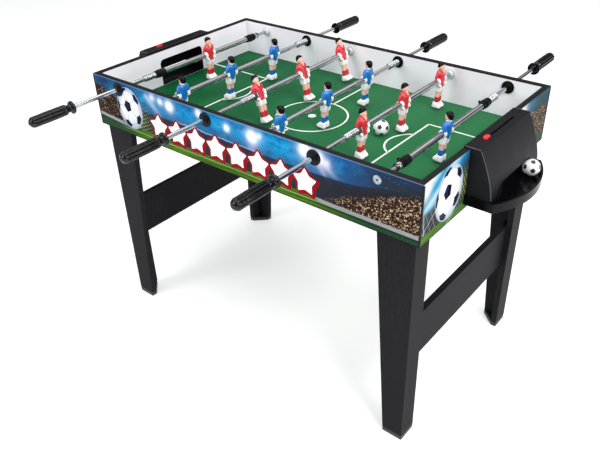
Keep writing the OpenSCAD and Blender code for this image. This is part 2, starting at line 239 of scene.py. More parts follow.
# ---------------------------------------------------------------- mesh helpers
class Part:
    """Collects vertices and faces with a material each, in mm."""
    def __init__(self):
        self.v, self.f, self.m, self.mats = [], [], [], []

    def mat(self, material):
        if material not in self.mats:
            self.mats.append(material)
        return self.mats.index(material)

    def add(self, verts, faces, material, matrix=None):
        k = len(self.v)
        if matrix is not None:
            verts = [matrix @ Vector(p) for p in verts]
        self.v += [tuple(p) for p in verts]
        self.f += [tuple(k + i for i in f) for f in faces]
        self.m += [self.mat(material)] * len(faces)

    def merge(self, other, matrix):
        k = len(self.v)
        self.v += [tuple(matrix @ Vector(p)) for p in other.v]
        self.f += [tuple(k + i for i in f) for f in other.f]
        self.m += [self.mat(other.mats[j]) for j in other.m]

    def obj(self, name, body, replaces=(), smooth=True, angle=35, bevel=0):
        me = bpy.data.meshes.new(name)
        me.from_pydata([(x * MM, y * MM, z * MM) for x, y, z in self.v], [], self.f)
        for mt in self.mats:
            me.materials.append(mt)
        me.polygons.foreach_set("material_index", self.m)
        bm = bmesh.new()
        bm.from_mesh(me)
        bmesh.ops.recalc_face_normals(bm, faces=bm.faces)
        for f in bm.faces:
            f.smooth = smooth
        if smooth:
            for e in bm.edges:
                if len(e.link_faces) == 2 and e.calc_face_angle(0) > math.radians(angle):
                    e.smooth = False
        bm.to_mesh(me)
        bm.free()
        ob = bpy.data.objects.new(name, me)
        bpy.context.scene.collection.objects.link(ob)
        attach(ob, body)
        if replaces:
            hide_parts(*replaces)
        return ob


def loft(rings, closed_ends=True, wrap=False):
    n = len(rings[0])
    verts = [p for r in rings for p in r]
    faces = []
    last = len(rings) if wrap else len(rings) - 1
    for k in range(last):
        a, b = k * n, ((k + 1) % len(rings)) * n
        for j in range(n):
            i = (j + 1) % n
            faces.append((a + j, a + i, b + i, b + j))
    if closed_ends and not wrap:
        faces.append(tuple(range(n - 1, -1, -1)))
        faces.append(tuple((len(rings) - 1) * n + j for j in range(n)))
    return verts, faces


def revolve(profile, n=48, mod=None):
    """Profile of (r, h) from one end to the other; the axis is z."""
    rings = []
    for r, h in profile:
        rings.append([((r + (mod(2 * math.pi * j / n, h) if mod else 0)) * math.cos(2 * math.pi * j / n),
                       (r + (mod(2 * math.pi * j / n, h) if mod else 0)) * math.sin(2 * math.pi * j / n), h) for j in range(n)])
    return loft(rings)


def ring_solid(profile, n=48):
    """Closed profile loop turned about z: a solid with a hole."""
    rings = [[(r * math.cos(2 * math.pi * j / n), r * math.sin(2 * math.pi * j / n), h) for r, h in profile] for j in range(n)]
    return loft(rings, closed_ends=False, wrap=True)


def sweep(path, radius, n=8):
    """Round tube along a path of points."""
    pts = [Vector(p) for p in path]
    rings, up = [], None
    for k, p in enumerate(pts):
        d = (pts[min(k + 1, len(pts) - 1)] - pts[max(k - 1, 0)]).normalized()
        if up is None:
            up = d.orthogonal().normalized()
        up = (up - d * up.dot(d)).normalized()
        side = d.cross(up)
        rings.append([tuple(p + (up * math.cos(2 * math.pi * j / n) + side * math.sin(2 * math.pi * j / n)) * radius) for j in range(n)])
    return loft(rings)


def rod_matrix(i, u=0.0):
    """z of a turned part becomes the rod's axis, towards its handle."""
    s = SIDE[i]
    return Matrix.Translation((rod_x(i), s * u, RODZ)) @ Matrix.Rotation(-s * math.pi / 2, 4, "X")


def plate(points, z0, z1):
    """Flat outline given as (a, b), as a prism from z0 to z1 along z."""
    n = len(points)
    verts = [(a, b, z0) for a, b in points] + [(a, b, z1) for a, b in points]
    faces = [tuple(range(n - 1, -1, -1)), tuple(range(n, 2 * n))]
    faces += [(j, (j + 1) % n, n + (j + 1) % n, n + j) for j in range(n)]
    return verts, faces


def refine(node, material, bevel=0.8, angle=28, segments=2):
    """A finer copy of a CAD node: same shape, small rounded edges, own material."""
    src = NODES[node]
    bm = bmesh.new()
    bm.from_mesh(src.data)
    bmesh.ops.remove_doubles(bm, verts=bm.verts, dist=2e-6)
    bmesh.ops.dissolve_limit(bm, angle_limit=math.radians(1.0), verts=bm.verts, edges=bm.edges)
    bmesh.ops.recalc_face_normals(bm, faces=bm.faces)
    if bevel:
        edges = [e for e in bm.edges if len(e.link_faces) == 2 and e.calc_face_angle(0) > math.radians(angle)]
        bmesh.ops.bevel(bm, geom=edges, offset=bevel * MM, segments=segments, profile=0.5, affect="EDGES", clamp_overlap=True)
    for f in bm.faces:
        f.smooth = True
    for e in bm.edges:
        if len(e.link_faces) == 2 and e.calc_face_angle(0) > math.radians(40):
            e.smooth = False
    me = bpy.data.meshes.new(node + "_fine")
    bm.to_mesh(me)
    bm.free()
    me.materials.append(material)
    ob = bpy.data.objects.new(node + "_fine", me)
    bpy.context.scene.collection.objects.link(ob)
    wn = ob.modifiers.new("Normals", "WEIGHTED_NORMAL")
    wn.keep_sharp = True
    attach(ob, src["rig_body"])
    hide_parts(node)
    return ob


def dress(node, material):
    o = NODES[node]
    o.data.materials.clear()
    o.data.materials.append(material)


# ---------------------------------------------------------------- camera, floor and lights
def camera():
    az, el, roll = math.radians(40.10), math.radians(33.26), math.radians(-1.91)
    back = Vector((math.sin(az) * math.cos(el), -math.cos(az) * math.cos(el), math.sin(el)))
    right = Vector((math.cos(az), math.sin(az), 0))
    up = back.cross(right)
    r2 = right * math.cos(roll) + up * math.sin(roll)
    u2 = -right * math.sin(roll) + up * math.cos(roll)
    cam = bpy.data.cameras.new("cam")
    cam.sensor_width, cam.lens = 36, 677.4 / 600 * 36
    cam.clip_end = 60
    ob = bpy.data.objects.new("cam", cam)
    bpy.context.scene.collection.objects.link(ob)
    m = Matrix((r2, u2, back)).transposed().to_4x4()
    m.translation = Vector((-0.0533 * 0.92, 0, RIM * MM - 0.462 * 0.92)) + back * 1.99 * 0.92
    ob.matrix_world = m
    bpy.context.scene.camera = ob


def studio():
    me = bpy.data.meshes.new("floor")
    s = 110
    me.from_pydata([(-s, -s, 0), (s, -s, 0), (s, s, 0), (-s, s, 0)], [], [(0, 1, 2, 3)])
    floor = bpy.data.objects.new("floor", me)
    bpy.context.scene.collection.objects.link(floor)
    mat = bpy.data.materials.new("floor_pale")
    t = Tree(mat)
    n = t.noise(t.coords(), 3, 2)
    b = t.finish(t.mix(n, (0.80, 0.80, 0.80), (0.83, 0.83, 0.83)), 0.9, spec=0.1)
    b.inputs["Emission Color"].default_value = (1, 1, 1, 1)
    b.inputs["Emission Strength"].default_value = 0.36
    me.materials.append(mat)
    w = bpy.data.worlds.new("w")
    bpy.context.scene.world = w
    w.use_nodes = True
    nt = w.node_tree
    nt.nodes.clear()
    out = nt.nodes.new("ShaderNodeOutputWorld")
    bg = nt.nodes.new("ShaderNodeBackground")
    bg.inputs["Strength"].default_value = 0.95
    # a studio dome: white above, darker towards the horizon so that metal shows contrast
    tc = nt.nodes.new("ShaderNodeTexCoord")
    sep = nt.nodes.new("ShaderNodeSeparateXYZ")
    nt.links.new(tc.outputs["Generated"], sep.inputs[0])
    ramp = nt.nodes.new("ShaderNodeValToRGB")
    e = ramp.color_ramp.elements
    while len(e) < 5:
        e.new(0.5)
    for k, (p, c) in enumerate(((0.0, 0.9), (0.02, 0.03), (0.36, 0.07), (0.60, 1.0), (0.93, 0.45))):
        e[k].position, e[k].color = p, (c * 0.985, c * 0.99, c, 1)
    nt.links.new(sep.outputs[2], ramp.inputs[0])
    nt.links.new(ramp.outputs[0], bg.inputs["Color"])
    nt.links.new(bg.outputs[0], out.inputs[0])
    for name, loc, size, power, col in (
            ("key", (2.6, -0.9, 3.0), 1.6, 94, (1, 0.99, 0.975)),
            ("fill", (-1.3, -3.4, 2.1), 2.2, 72, (0.965, 0.98, 1)),
            ("top", (-0.3, 0.2, 3.4), 2.2, 48, (1, 1, 1)),
            ("side", (3.3, 0.9, 1.0), 1.5, 34, (1, 1, 1))):
        li = bpy.data.lights.new(name, "AREA")
        li.shape, li.size, li.energy, li.color = "SQUARE", size, power, col
        ob = bpy.data.objects.new(name, li)
        bpy.context.scene.collection.objects.link(ob)
        ob.location = loc
        ob.rotation_euler = (Vector((0, 0, 0.5)) - Vector(loc)).to_track_quat("-Z", "Y").to_euler()


bpy.context.scene.view_settings.view_transform = "Standard"
camera()
studio()

# ---------------------------------------------------------------- plain materials
black_plastic = std("black_plastic", (0.006, 0.006, 0.007), 0.26, fine=0.10, fscale=1400, var=0.15, spec=0.10)
hood_mat = std("hood_plastic", (0.0105, 0.0105, 0.0125), 0.36, fine=0.22, fscale=1100, var=0.12, vscale=9, spec=0.07)
tray_mat = std("tray_plastic", (0.0028, 0.0028, 0.0035), 0.14, fine=0.04, fscale=700, var=0.15, spec=0.10)
grip_mat = std("grip_rubber", (0.0020, 0.0020, 0.0025), 0.13, fine=0.02, fscale=900, var=0.2, spec=0.34)
rim_mat = std("rim_plastic", (0.0095, 0.0100, 0.0115), 0.36, fine=0.10, fscale=900, var=0.12, vscale=14, spec=0.10)
foot_mat = std("foot_plastic", (0.010, 0.010, 0.011), 0.5, fine=0.25, var=0.2)
chrome = std("chrome_tube", (0.60, 0.605, 0.63), 0.06, metal=1.0, var=0.05, rvar=0.03, vscale=14)
guide_mat = std("guide_steel", (0.50, 0.51, 0.54), 0.2, metal=1.0, var=0.05, rvar=0.04, vscale=14)
spring_mat = std("spring_steel", (0.58, 0.59, 0.61), 0.2, metal=1.0, var=0.08, vscale=40)
zinc_mat = std("zinc_steel", (0.55, 0.55, 0.56), 0.35, metal=1.0, var=0.12, vscale=120, fine=0.1)
raw_mat = std("raw_board", (0.42, 0.30, 0.18), 0.8, var=0.15, vscale=120, fine=0.4, fscale=500, stretch=(0.4, 1, 1))
cup_mat = std("cup_plastic", (0.62, 0.64, 0.66), 0.25, var=0.05, coat=0.4)
red_mat = std("red_marker", (0.70, 0.025, 0.025), 0.25, var=0.08, coat=0.5)


def board_material(name, color, light):
    """Charcoal laminate: fine long grain with a satin sheen."""
    mat = bpy.data.materials.new(name)
    t = Tree(mat)
    g = t.noise(t.coords(scale=(14, 14, 0.7)), 60, 5, 0.65)
    g2 = t.noise(t.coords(scale=(1, 1, 0.25)), 8, 3)
    col = t.mix(t.step(g, 0.35, 0.68), color, light)
    col = t.mix(t.mul(t.step(g2, 0.35, 0.65), 0.35), col, shade(color, 0.75))
    nrm = t.bump(g, 0.12, 0.0004)
    t.finish(col, t.remap(g, 0.3, 0.7, 0.40, 0.52), normal=nrm, spec=0.03)
    return mat


leg_mat = board_material("charcoal_board", (0.0112, 0.0107, 0.0124), (0.0190, 0.0181, 0.0206))


def panel_material(name, axis):
    """White laminate on the inner face, black on the edges and behind the print."""
    mat = bpy.data.materials.new(name)
    t = Tree(mat)
    v = t.coords()
    x, y, z = t.xyz(v)
    a = t.m("ABSOLUTE", x if axis == 0 else y)
    inner = (IL if axis == 0 else IW) * MM
    edge = t.step(a, inner + 0.0004, inner + 0.0008, smooth=False)
    n = t.noise(v, 6, 3)
    white = t.mix(t.step(n, 0.3, 0.7), (0.92, 0.88, 0.95), (0.95, 0.92, 0.98))
    col = t.mix(edge, white, (0.012, 0.012, 0.013))
    nrm = t.bump(t.noise(v, 260, 2), 0.03, 0.0005)
    t.finish(col, t.remap(t.noise(v, 18, 3), 0.3, 0.7, 0.12, 0.2), normal=nrm, coat=0.3, coat_rough=0.08)
    return mat


side_white = panel_material("panel_side", 1)
end_white = panel_material("panel_end", 0)
for n in ("front_panel", "rear_panel"):
    dress(n, side_white)
for n in ("left_end_panel", "right_end_panel"):
    dress(n, end_white)

for n, m, b in (("rim_trim", rim_mat, 0.7), ("foot_pads", foot_mat, 0.9), ("leg_front_left", leg_mat, 0.9), ("leg_front_right", leg_mat, 0.9),
                ("leg_rear_left", leg_mat, 0.9), ("leg_rear_right", leg_mat, 0.9), ("stretcher_left", leg_mat, 0.9),
                ("stretcher_right", leg_mat, 0.9), ("goal_hood_left", hood_mat, 1.3), ("goal_hood_right", hood_mat, 1.3),
                ("ball_tray_left", tray_mat, 1.2), ("ball_tray_right", tray_mat, 1.2), ("score_slider_left", red_mat, 0.7),
                ("score_slider_right", red_mat, 0.7), ("rod_bushings", black_plastic, 0.6), ("rod_end_cups", cup_mat, 0.5)):
    refine(n, m, b)
dress("frame_bolts", zinc_mat)
dress("tray_screws", zinc_mat)
dress("field_battens", raw_mat)
dress("corner_blocks", raw_mat)

# ---------------------------------------------------------------- playfield
def field_material():
    mat = bpy.data.materials.new("playfield_green")
    t = Tree(mat)
    v = t.coords()
    x, y, z = t.xyz(v)
    n = t.noise(v, 9, 3)
    fine = t.noise(v, 380, 4, 0.7)
    # darker towards the left end and lighter towards the right: painted shade on the left and painted haze of light on
    # the right
    base = t.mix(t.step(x, -0.46, 0.25), (0.0036, 0.073, 0.024), (0.023, 0.136, 0.053))
    col = t.mix(t.mul(t.step(n, 0.35, 0.65), 0.25), base, (0.026, 0.165, 0.062))
    col = t.mix(t.mul(t.step(fine, 0.45, 0.8), 0.14), col, (0.06, 0.26, 0.11))
    nrm = t.bump(fine, 0.04, 0.0004)
    t.finish(col, t.remap(n, 0.3, 0.7, 0.36, 0.46), normal=nrm, spec=0.02)
    return mat


dress("playfield_board", field_material())
line_mat = std("field_line", (0.80, 0.83, 0.80), 0.35, var=0.04, vscale=60)


def field_lines():
    p = Part()
    z0, z1, w = FIELD - 0.1, FIELD + 0.12, 4.4

    def bar(x0, y0, x1, y1):
        p.add(*plate([(x0, y0), (x1, y0), (x1, y1), (x0, y1)], z0, z1), line_mat)

    def arc(cx, cy, r, a0, a1, n=64):
        for k in range(n):
            a, b = math.radians(a0 + (a1 - a0) * k / n), math.radians(a0 + (a1 - a0) * (k + 1) / n)
            p.add(*plate([(cx + (r - w / 2) * math.cos(a), cy + (r - w / 2) * math.sin(a)), (cx + (r + w / 2) * math.cos(a), cy + (r + w / 2) * math.sin(a)),
                          (cx + (r + w / 2) * math.cos(b), cy + (r + w / 2) * math.sin(b)), (cx + (r - w / 2) * math.cos(b), cy + (r - w / 2) * math.sin(b))], z0, z1), line_mat)
    bar(-w / 2, -IW + 0.5, w / 2, -86)
    bar(-w / 2, 86, w / 2, IW - 0.5)
    arc(0, 0, 86, 0, 360, 96)
    n = 32
    p.add(*plate([(10 * math.cos(2 * math.pi * k / n), 10 * math.sin(2 * math.pi * k / n)) for k in range(n)], z0, z1 + 0.02), line_mat)
    for s in (-1, 1):
        xf = s * 249
        bar(min(xf, s * (IL - 0.5)), -120 - w / 2, max(xf, s * (IL - 0.5)), -120 + w / 2)
        bar(min(xf, s * (IL - 0.5)), 120 - w / 2, max(xf, s * (IL - 0.5)), 120 + w / 2)
        bar(xf - w / 2, -120, xf + w / 2, 120)
        # arc in front of the area
        r, cx = 62, s * (249 + 30)
        h = math.degrees(math.acos(30 / r))
        arc(cx, 0, r, 180 - h if s > 0 else -h, 180 + h if s > 0 else h, 48)
    p.obj("field_lines", "table", smooth=False)


field_lines()

# ---------------------------------------------------------------- players
def oval(z, cx, cy, rx, ry, n=2.3, k=28):
    """Ring at height z with rounded-square power n."""
    pts = []
    for j in range(k):
        a = 2 * math.pi * j / k
        c, s = math.cos(a), math.sin(a)
        pts.append((cx + rx * math.copysign(abs(c) ** (2 / n), c), cy + ry * math.copysign(abs(s) ** (2 / n), s), z))
    return pts


def stack(rows, cy=0.0, n=2.3, k=28):
    """Loft of rows (z, cx, rx, ry[, power])."""
    return loft([oval(r[0], r[1], cy, r[2], r[3], r[4] if len(r) > 4 else n, k) for r in rows])


def blob(c, r, nu=24, nv=14, rot=None):
    """Ellipsoid at c with radii r, turned by rot."""
    rings = []
    for i in range(nv + 1):
        a = -math.pi / 2 + math.pi * i / nv
        rr, z = max(math.cos(a), 0.02), math.sin(a)
        ring = [Vector((r[0] * rr * math.cos(2 * math.pi * j / nu), r[1] * rr * math.sin(2 * math.pi * j / nu), r[2] * z)) for j in range(nu)]
        if rot is not None:
            ring = [rot @ p for p in ring]
        rings.append([tuple(p + Vector(c)) for p in ring])
    return loft(rings)


def limb(path, radii, n=14):
    """Tube of changing radius with domed ends."""
    pts = [Vector(p) for p in path]
    d0, d1 = (pts[1] - pts[0]).normalized(), (pts[-1] - pts[-2]).normalized()
    ext, rad = [], []
    for a in (85, 60, 30):
        ext.append(pts[0] - d0 * radii[0] * math.sin(math.radians(a)))
        rad.append(radii[0] * math.cos(math.radians(a)))
    mid = list(zip(pts, radii))
    for p, r in mid:
        ext.append(p)
        rad.append(r)
    for a in (30, 60, 85):
        ext.append(pts[-1] + d1 * radii[-1] * math.sin(math.radians(a)))
        rad.append(radii[-1] * math.cos(math.radians(a)))
    rings, up = [], None
    for k, p in enumerate(ext):
        d = (ext[min(k + 1, len(ext) - 1)] - ext[max(k - 1, 0)]).normalized()
        if up is None:
            up = d.orthogonal().normalized()
        up = (up - d * up.dot(d)).normalized()
        side = d.cross(up)
        rings.append([tuple(p + (up * math.cos(2 * math.pi * j / n) + side * math.sin(2 * math.pi * j / n)) * rad[k]) for j in range(n)])
    return loft(rings)


skin_mat = std("figure_skin", (0.90, 0.53, 0.42), 0.34, var=0.05, vscale=90, coat=0.25, fine=0.05)
hair_mat = std("figure_hair", (0.0030, 0.0026, 0.0026), 0.22, var=0.3, vscale=200, fine=0.3, fscale=650, spec=0.16)
fwhite_mat = std("figure_white", (0.94, 0.91, 0.94), 0.3, var=0.03, vscale=70, fine=0.05, coat=0.35)
red_mat2 = std("figure_red", (0.60, 0.022, 0.034), 0.3, var=0.10, vscale=90, fine=0.12, fscale=350, coat=0.35)
blue_mat2 = std("figure_blue", (0.006, 0.160, 0.50), 0.3, var=0.12, vscale=90, fine=0.12, fscale=350, coat=0.35)
eye_mat = std("figure_eye", (0.02, 0.016, 0.014), 0.3, var=0.1)
lip_mat = std("figure_lip", (0.55, 0.18, 0.13), 0.4, var=0.1)
collar_mat = std("rod_collar", (0.10, 0.105, 0.115), 0.3, metal=0.6, var=0.12, vscale=120)


def figure(team, red):
    """One player in mm, facing +X, rod axis at the origin."""
    p = Part()
    for s in (-1, 1):
        # boots with a groove between them, heel, sole edge and toe
        p.add(*stack([(-66.0, 1.4, 9.4, 5.6, 4.5), (-65.2, 1.6, 11.0, 6.2, 4.5), (-63.2, 1.8, 11.4, 6.35, 4), (-60.5, 1.2, 10.6, 6.3, 3.6),
                      (-58.0, 0.2, 9.2, 6.1, 3.2), (-55.8, -0.8, 7.8, 5.8, 2.8), (-54.0, -0.8, 6.8, 5.4, 2.5), (-53.2, -0.8, 6.0, 4.9, 2.4)], cy=s * 6.1), fwhite_mat)
        # socks
        p.add(*stack([(-55.5, -0.4, 5.5, 4.7), (-52, -0.3, 5.6, 4.7), (-47, -0.4, 6.1, 4.9), (-42.4, -0.2, 6.0, 4.9), (-41.3, -0.1, 6.25, 5.05),
                      (-40.1, -0.1, 6.1, 4.95), (-39.7, -0.1, 5.2, 4.3)], cy=s * 4.9), team)
        # knees and thighs
        p.add(*stack([(-42, -0.2, 5.2, 4.3), (-38, -0.2, 5.4, 4.4), (-34.5, 0.3, 5.9, 4.6), (-32, 0.4, 5.8, 4.6), (-28, 0.2, 6.2, 4.8), (-22, 0.2, 6.6, 5.0)], cy=s * 5.0), skin_mat)
        # legs of the shorts
        p.add(*stack([(-24.9, 0.2, 7.4, 5.4), (-25.1, 0.2, 8.0, 6.0), (-24.2, 0.2, 8.3, 6.25), (-19, 0.2, 8.6, 6.5), (-12, 0.1, 8.6, 6.6), (-8, 0.1, 8.0, 6.2)], cy=s * 6.1), fwhite_mat)
    p.add(*stack([(-19.5, 0.1, 7.4, 10.0), (-17, 0.1, 8.6, 12.0), (-12, 0.1, 8.7, 12.1), (-6, 0.1, 8.5, 11.8)]), fwhite_mat)
    # shirt, hanging a little over the shorts
    p.add(*stack([(-12.6, 0.2, 8.4, 11.6), (-13.3, 0.3, 9.1, 12.3), (-12.6, 0.3, 9.5, 12.7), (-8, 0.1, 9.2, 12.2), (-1, -0.1, 8.9, 12.1), (6, 0.0, 9.2, 12.6),
                  (12, 0.1, 9.4, 13.4), (16.5, 0.0, 9.1, 14.0), (20, -0.3, 8.2, 13.7), (22.8, -0.6, 7.0, 11.6), (24.8, -0.7, 5.8, 8.4), (26.2, -0.6, 5.1, 5.8),
                  (26.9, -0.6, 4.6, 4.9)], n=2.35, k=36), team)
    for s in (-1, 1):
        # short sleeve, bent forearm and hand on the hip
        p.add(*limb([(-0.4, s * 11.6, 19.0), (-1.4, s * 13.6, 13.5), (-2.2, s * 14.2, 9.0), (-2.0, s * 14.1, 6.4)], [4.6, 4.6, 4.5, 4.4]), team)
        p.add(*limb([(-2.0, s * 14.0, 6.6), (-1.6, s * 14.4, 2.0), (1.8, s * 14.2, -3.4), (6.4, s * 12.6, -7.8)], [4.3, 4.3, 4.1, 3.5]), fwhite_mat)
        p.add(*blob((8.0, s * 11.4, -9.6), (3.0, 3.7, 3.3)), fwhite_mat)
        # boss where the rod enters
        p.add(*revolve([(8.4, 0), (8.7, 0.4), (8.7, 6.2), (8.3, 6.7), (7.0, 6.8)], 28), fwhite_mat,
              Matrix.Translation((0, s * 10.4, 0)) @ Matrix.Rotation(-s * math.pi / 2, 4, "X"))
    # neck, head, ears, nose, eyes and mouth
    p.add(*stack([(22, -0.4, 4.4, 4.6), (25, -0.2, 4.3, 4.5), (29, 0.0, 4.5, 4.5)]), skin_mat)
    if red:
        p.add(*limb([(4.4, 0, 26.4), (7.2, 0, 22.6), (8.9, 0, 18.8)], [2.9, 2.3, 0.9], 12), skin_mat)
    else:
        p.add(*ring_solid([(4.4, 25.2), (5.6, 24.4), (6.4, 25.0), (6.0, 26.6), (5.0, 27.6), (4.4, 27.2)], 28), fwhite_mat)
    p.add(*stack([(25.0, 1.4, 2.6, 2.6), (25.5, 1.5, 4.2, 4.0), (27.5, 1.1, 6.0, 5.4), (30.5, 0.7, 7.2, 6.7), (34, 0.3, 7.6, 7.1), (38, -0.1, 7.3, 7.0), (41, -0.5, 6.0, 5.8),
                  (43.2, -0.8, 3.4, 3.2), (43.8, -0.8, 1.0, 1.0)], n=2.15, k=32), skin_mat)
    p.add(*blob((8.0, 0, 32.2), (1.3, 1.15, 1.8), 14, 8), skin_mat)
    for s in (-1, 1):
        p.add(*blob((-0.2, s * 7.2, 32.6), (1.6, 0.9, 2.2), 14, 8), skin_mat)
        p.add(*blob((6.75, s * 2.7, 34.6), (0.75, 0.95, 0.75), 12, 8), eye_mat)
        p.add(*blob((6.95, s * 2.7, 36.6), (0.6, 1.4, 0.35), 12, 6), hair_mat)
    p.add(*blob((7.15, 0, 28.8), (0.6, 1.7, 0.4), 14, 6), lip_mat)
    # hair cap: crown, fringe and back of the neck, with shallow locks
    rings = []
    k = 40
    for z, cx, rx, ry, lean in ((33.6, -1.8, 5.6, 6.4, 0.62), (34.0, -1.2, 7.1, 7.5, 0.62), (35.4, -0.9, 7.9, 8.0, 0.56), (37.4, -0.7, 8.3, 8.1, 0.42), (39.4, -0.6, 8.3, 7.9, 0.24),
                                (41.4, -0.8, 7.4, 7.1, 0.10), (43.2, -0.9, 5.7, 5.4, 0.03), (44.4, -1.0, 3.7, 3.5, 0.0), (44.95, -1.0, 1.2, 1.2, 0.0)):
        ring = []
        for x, y, zz in oval(z, cx, 0, rx, ry, 2.1, k):
            w = 0.16 * math.cos(11 * math.atan2(y, x + 1))
            ring.append((x + w, y + w, zz + lean * (x - cx)))
        rings.append(ring)
    p.add(*loft(rings), hair_mat)
    return p


RED, BLUE = figure(red_mat2, True), figure(blue_mat2, False)
for i in range(6):
    p = Part()
    blue = SIDE[i] > 0
    for u in men(i):
        m = Matrix.Translation((rod_x(i), SIDE[i] * u, RODZ)) @ Matrix.Rotation(math.radians(-TILT[i]), 4, "Y") @ Matrix.Rotation(math.pi if blue else 0, 4, "Z")
        p.merge(BLUE if blue else RED, m)
    p.obj("rod%d_figures" % (i + 1), "rod%d_bar" % (i + 1), ["rod%d_players" % (i + 1)], angle=50)


# ---------------------------------------------------------------- rods
def helix(u0, u1, turns, mean, wire, closed=1.6, n=22, sides=8):
    """Wire coil with closed end turns, along z."""
    total = turns + 2 * closed
    path, z = [], 0.0
    pitch_c = wire * 2.02
    pitch = (u1 - u0 - 2 * wire - 2 * closed * pitch_c) / turns
    steps = int(total * n)
    z = u0 + wire
    for k in range(steps + 1):
        t = k / n
        path.append((mean * math.cos(2 * math.pi * t), mean * math.sin(2 * math.pi * t), z))
        f = min(1.0, max(0.0, min(t, total - t) - closed + 0.5))
        z += (pitch_c + (pitch - pitch_c) * f) / n
    zmax = path[-1][2]
    k = (u1 - wire - (u0 + wire)) / (zmax - (u0 + wire))
    path = [(x, y, u0 + wire + (z - u0 - wire) * k) for x, y, z in path]
    return sweep(path, wire, sides)


def grip_mesh(end):
    """Ribbed handle of 112 mm ending at `end`, along z."""
    g0 = end - 112
    prof = [(ROD_R + 0.4, g0), (13.4, g0), (14.5, g0 + 0.4), (15.0, g0 + 1.5), (15.0, g0 + 3.0), (14.5, g0 + 4.2), (13.2, g0 + 4.8), (12.2, g0 + 4.5), (11.4, g0 + 4.4),
            (10.9, g0 + 5.2), (10.3, g0 + 6.6), (9.1, g0 + 7.6), (8.8, g0 + 9.0), (8.8, g0 + 14.6), (9.2, g0 + 16.4), (10.4, g0 + 17.8), (11.8, g0 + 18.8), (12.3, g0 + 20.4)]
    h = 22.0
    while h < 98:
        prof.append((12.2 + 0.5 * math.sin(math.pi * (h - 20) / 84), g0 + h))
        h += 2.4
    for a in range(0, 82, 9):
        r, z = 12.35 * math.cos(math.radians(a)) + 0.3, g0 + 98.6 + 11.8 * math.sin(math.radians(a))
        prof.append((max(r, 0.15), z))
    prof += [(3.4, g0 + 110.2), (3.0, g0 + 111.3), (2.0, g0 + 111.8), (0.15, g0 + 111.95)]

    def mod(a, z):
        w = max(0.0, min(1.0, (z - g0 - 20.5) / 3.5)) * max(0.0, min(1.0, (g0 + 107.5 - z) / 6.0))
        f = abs(math.sin(5 * a))
        cut = 0.5 * math.exp(-((z - g0 - 84) / 1.3) ** 2) + 0.25 * math.exp(-((z - g0 - 54) / 1.3) ** 2)
        return -2.6 * w * (1 - f) ** 1.7 - cut
    return revolve(prof, 168, mod)


for i in range(6):
    name, bar = "rod%d" % (i + 1), "rod%d_bar" % (i + 1)
    su, ou = step_u(i), open_u(i)
    collar = [(TUBE_R + 0.55, ou), (TUBE_R + 0.7, ou + 0.2), (TUBE_R + 0.7, ou + 11.6), (TUBE_R + 0.3, ou + 12), (TUBE_R, ou + 12.05)] if keeper(i) else [(TUBE_R - 0.25, ou), (TUBE_R, ou + 0.3)]
    p = Part()
    p.add(*revolve([(0.1, su - 26), (GUIDE_R + 0.03, su - 26), (GUIDE_R + 0.03, ou)] + collar
                   + [(TUBE_R, ou + 14 + k * (su - ou - 16) / 8) for k in range(9)] + [(TUBE_R, su - 0.5), (TUBE_R - 0.5, su), (ROD_R, su + 0.1)]
                   + [(ROD_R, su + 2 + k * (END[i] - 10 - su) / 8) for k in range(9)] + [(ROD_R, END[i] - 6.1), (0.1, END[i] - 6)], 56), chrome, rod_matrix(i))
    p.obj(name + "_shaft", bar, [name + "_tube"], angle=40)
    dress(name + "_guide", guide_mat)
    p = Part()
    p.add(*grip_mesh(END[i]), grip_mat, rod_matrix(i))
    p.obj(name + "_handle", bar, [name + "_grip"], angle=38)
    ln = 35 if keeper(i) else 44
    fixed = SIDE[i] > 0 and not keeper(i)
    u0 = IW - 3 - ln - 0.2 if fixed else step_u(i) + 0.4
    p = Part()
    p.add(*helix(u0, u0 + ln, 9 if keeper(i) else 11, 6.5, 1.08), spring_mat, rod_matrix(i))
    p.obj(name + "_coil", "table" if fixed else bar, [name + "_spring"], angle=60)
    p = Part()
    if keeper(i):
        for u in (-203, 128):
            p.add(*ring_solid([(TUBE_R + 0.05, u), (8.4, u), (9.0, u + 0.7), (9.0, u + 5.5), (8.6, u + 6.2), (8.6, u + 9.5), (9.9, u + 10.1), (10.0, u + 11), (10.0, u + 20), (9.9, u + 20.9), (8.6, u + 21.5), (8.6, u + 24.8),
                                 (9.0, u + 25.5), (9.0, u + 30.3), (8.4, u + 31), (TUBE_R + 0.05, u + 31)], 56),
                  black_plastic, rod_matrix(i))
            m = Matrix.Translation((rod_x(i), SIDE[i] * (u + 15.5), RODZ)) @ Matrix.Rotation(math.radians(-TILT[i]), 4, "Y") @ Matrix.Rotation(-math.pi / 2, 4, "Y")
            p.add(*ring_solid([(1.9, 8.0), (3.0, 8.0), (3.0, 14.4), (2.6, 14.9), (1.9, 14.9)], 24), black_plastic, m)
            p.add(*revolve([(1.85, 8.0), (1.85, 13.6), (1.4, 14.1), (0.9, 14.1), (0.8, 13.0), (0.1, 12.9)], 18), zinc_mat, m)
        p.obj(name + "_stops", bar, [name + "_bumpers"], angle=40)
        q = Part()
        q.add(*ring_solid([(GUIDE_R + 0.4, -216.05), (7.1, -216.05), (7.75, -215.4), (7.75, -213.2), (7.45, -212.8), (GUIDE_R + 0.4, -212.8)], 40), black_plastic, rod_matrix(i))
        q.obj(name + "_end_ring", bar, [], angle=40)
    elif not fixed:
        s = step_u(i)
        p.add(*ring_solid([(TUBE_R + 0.02, s - 6.5), (8.9, s - 6.5), (9.3, s - 6.0), (9.3, s - 0.6), (8.8, s - 0.05), (TUBE_R - 0.6, s - 0.05)], 44), collar_mat, rod_matrix(i))
        p.obj(name + "_spring_seat", bar, [], angle=40)


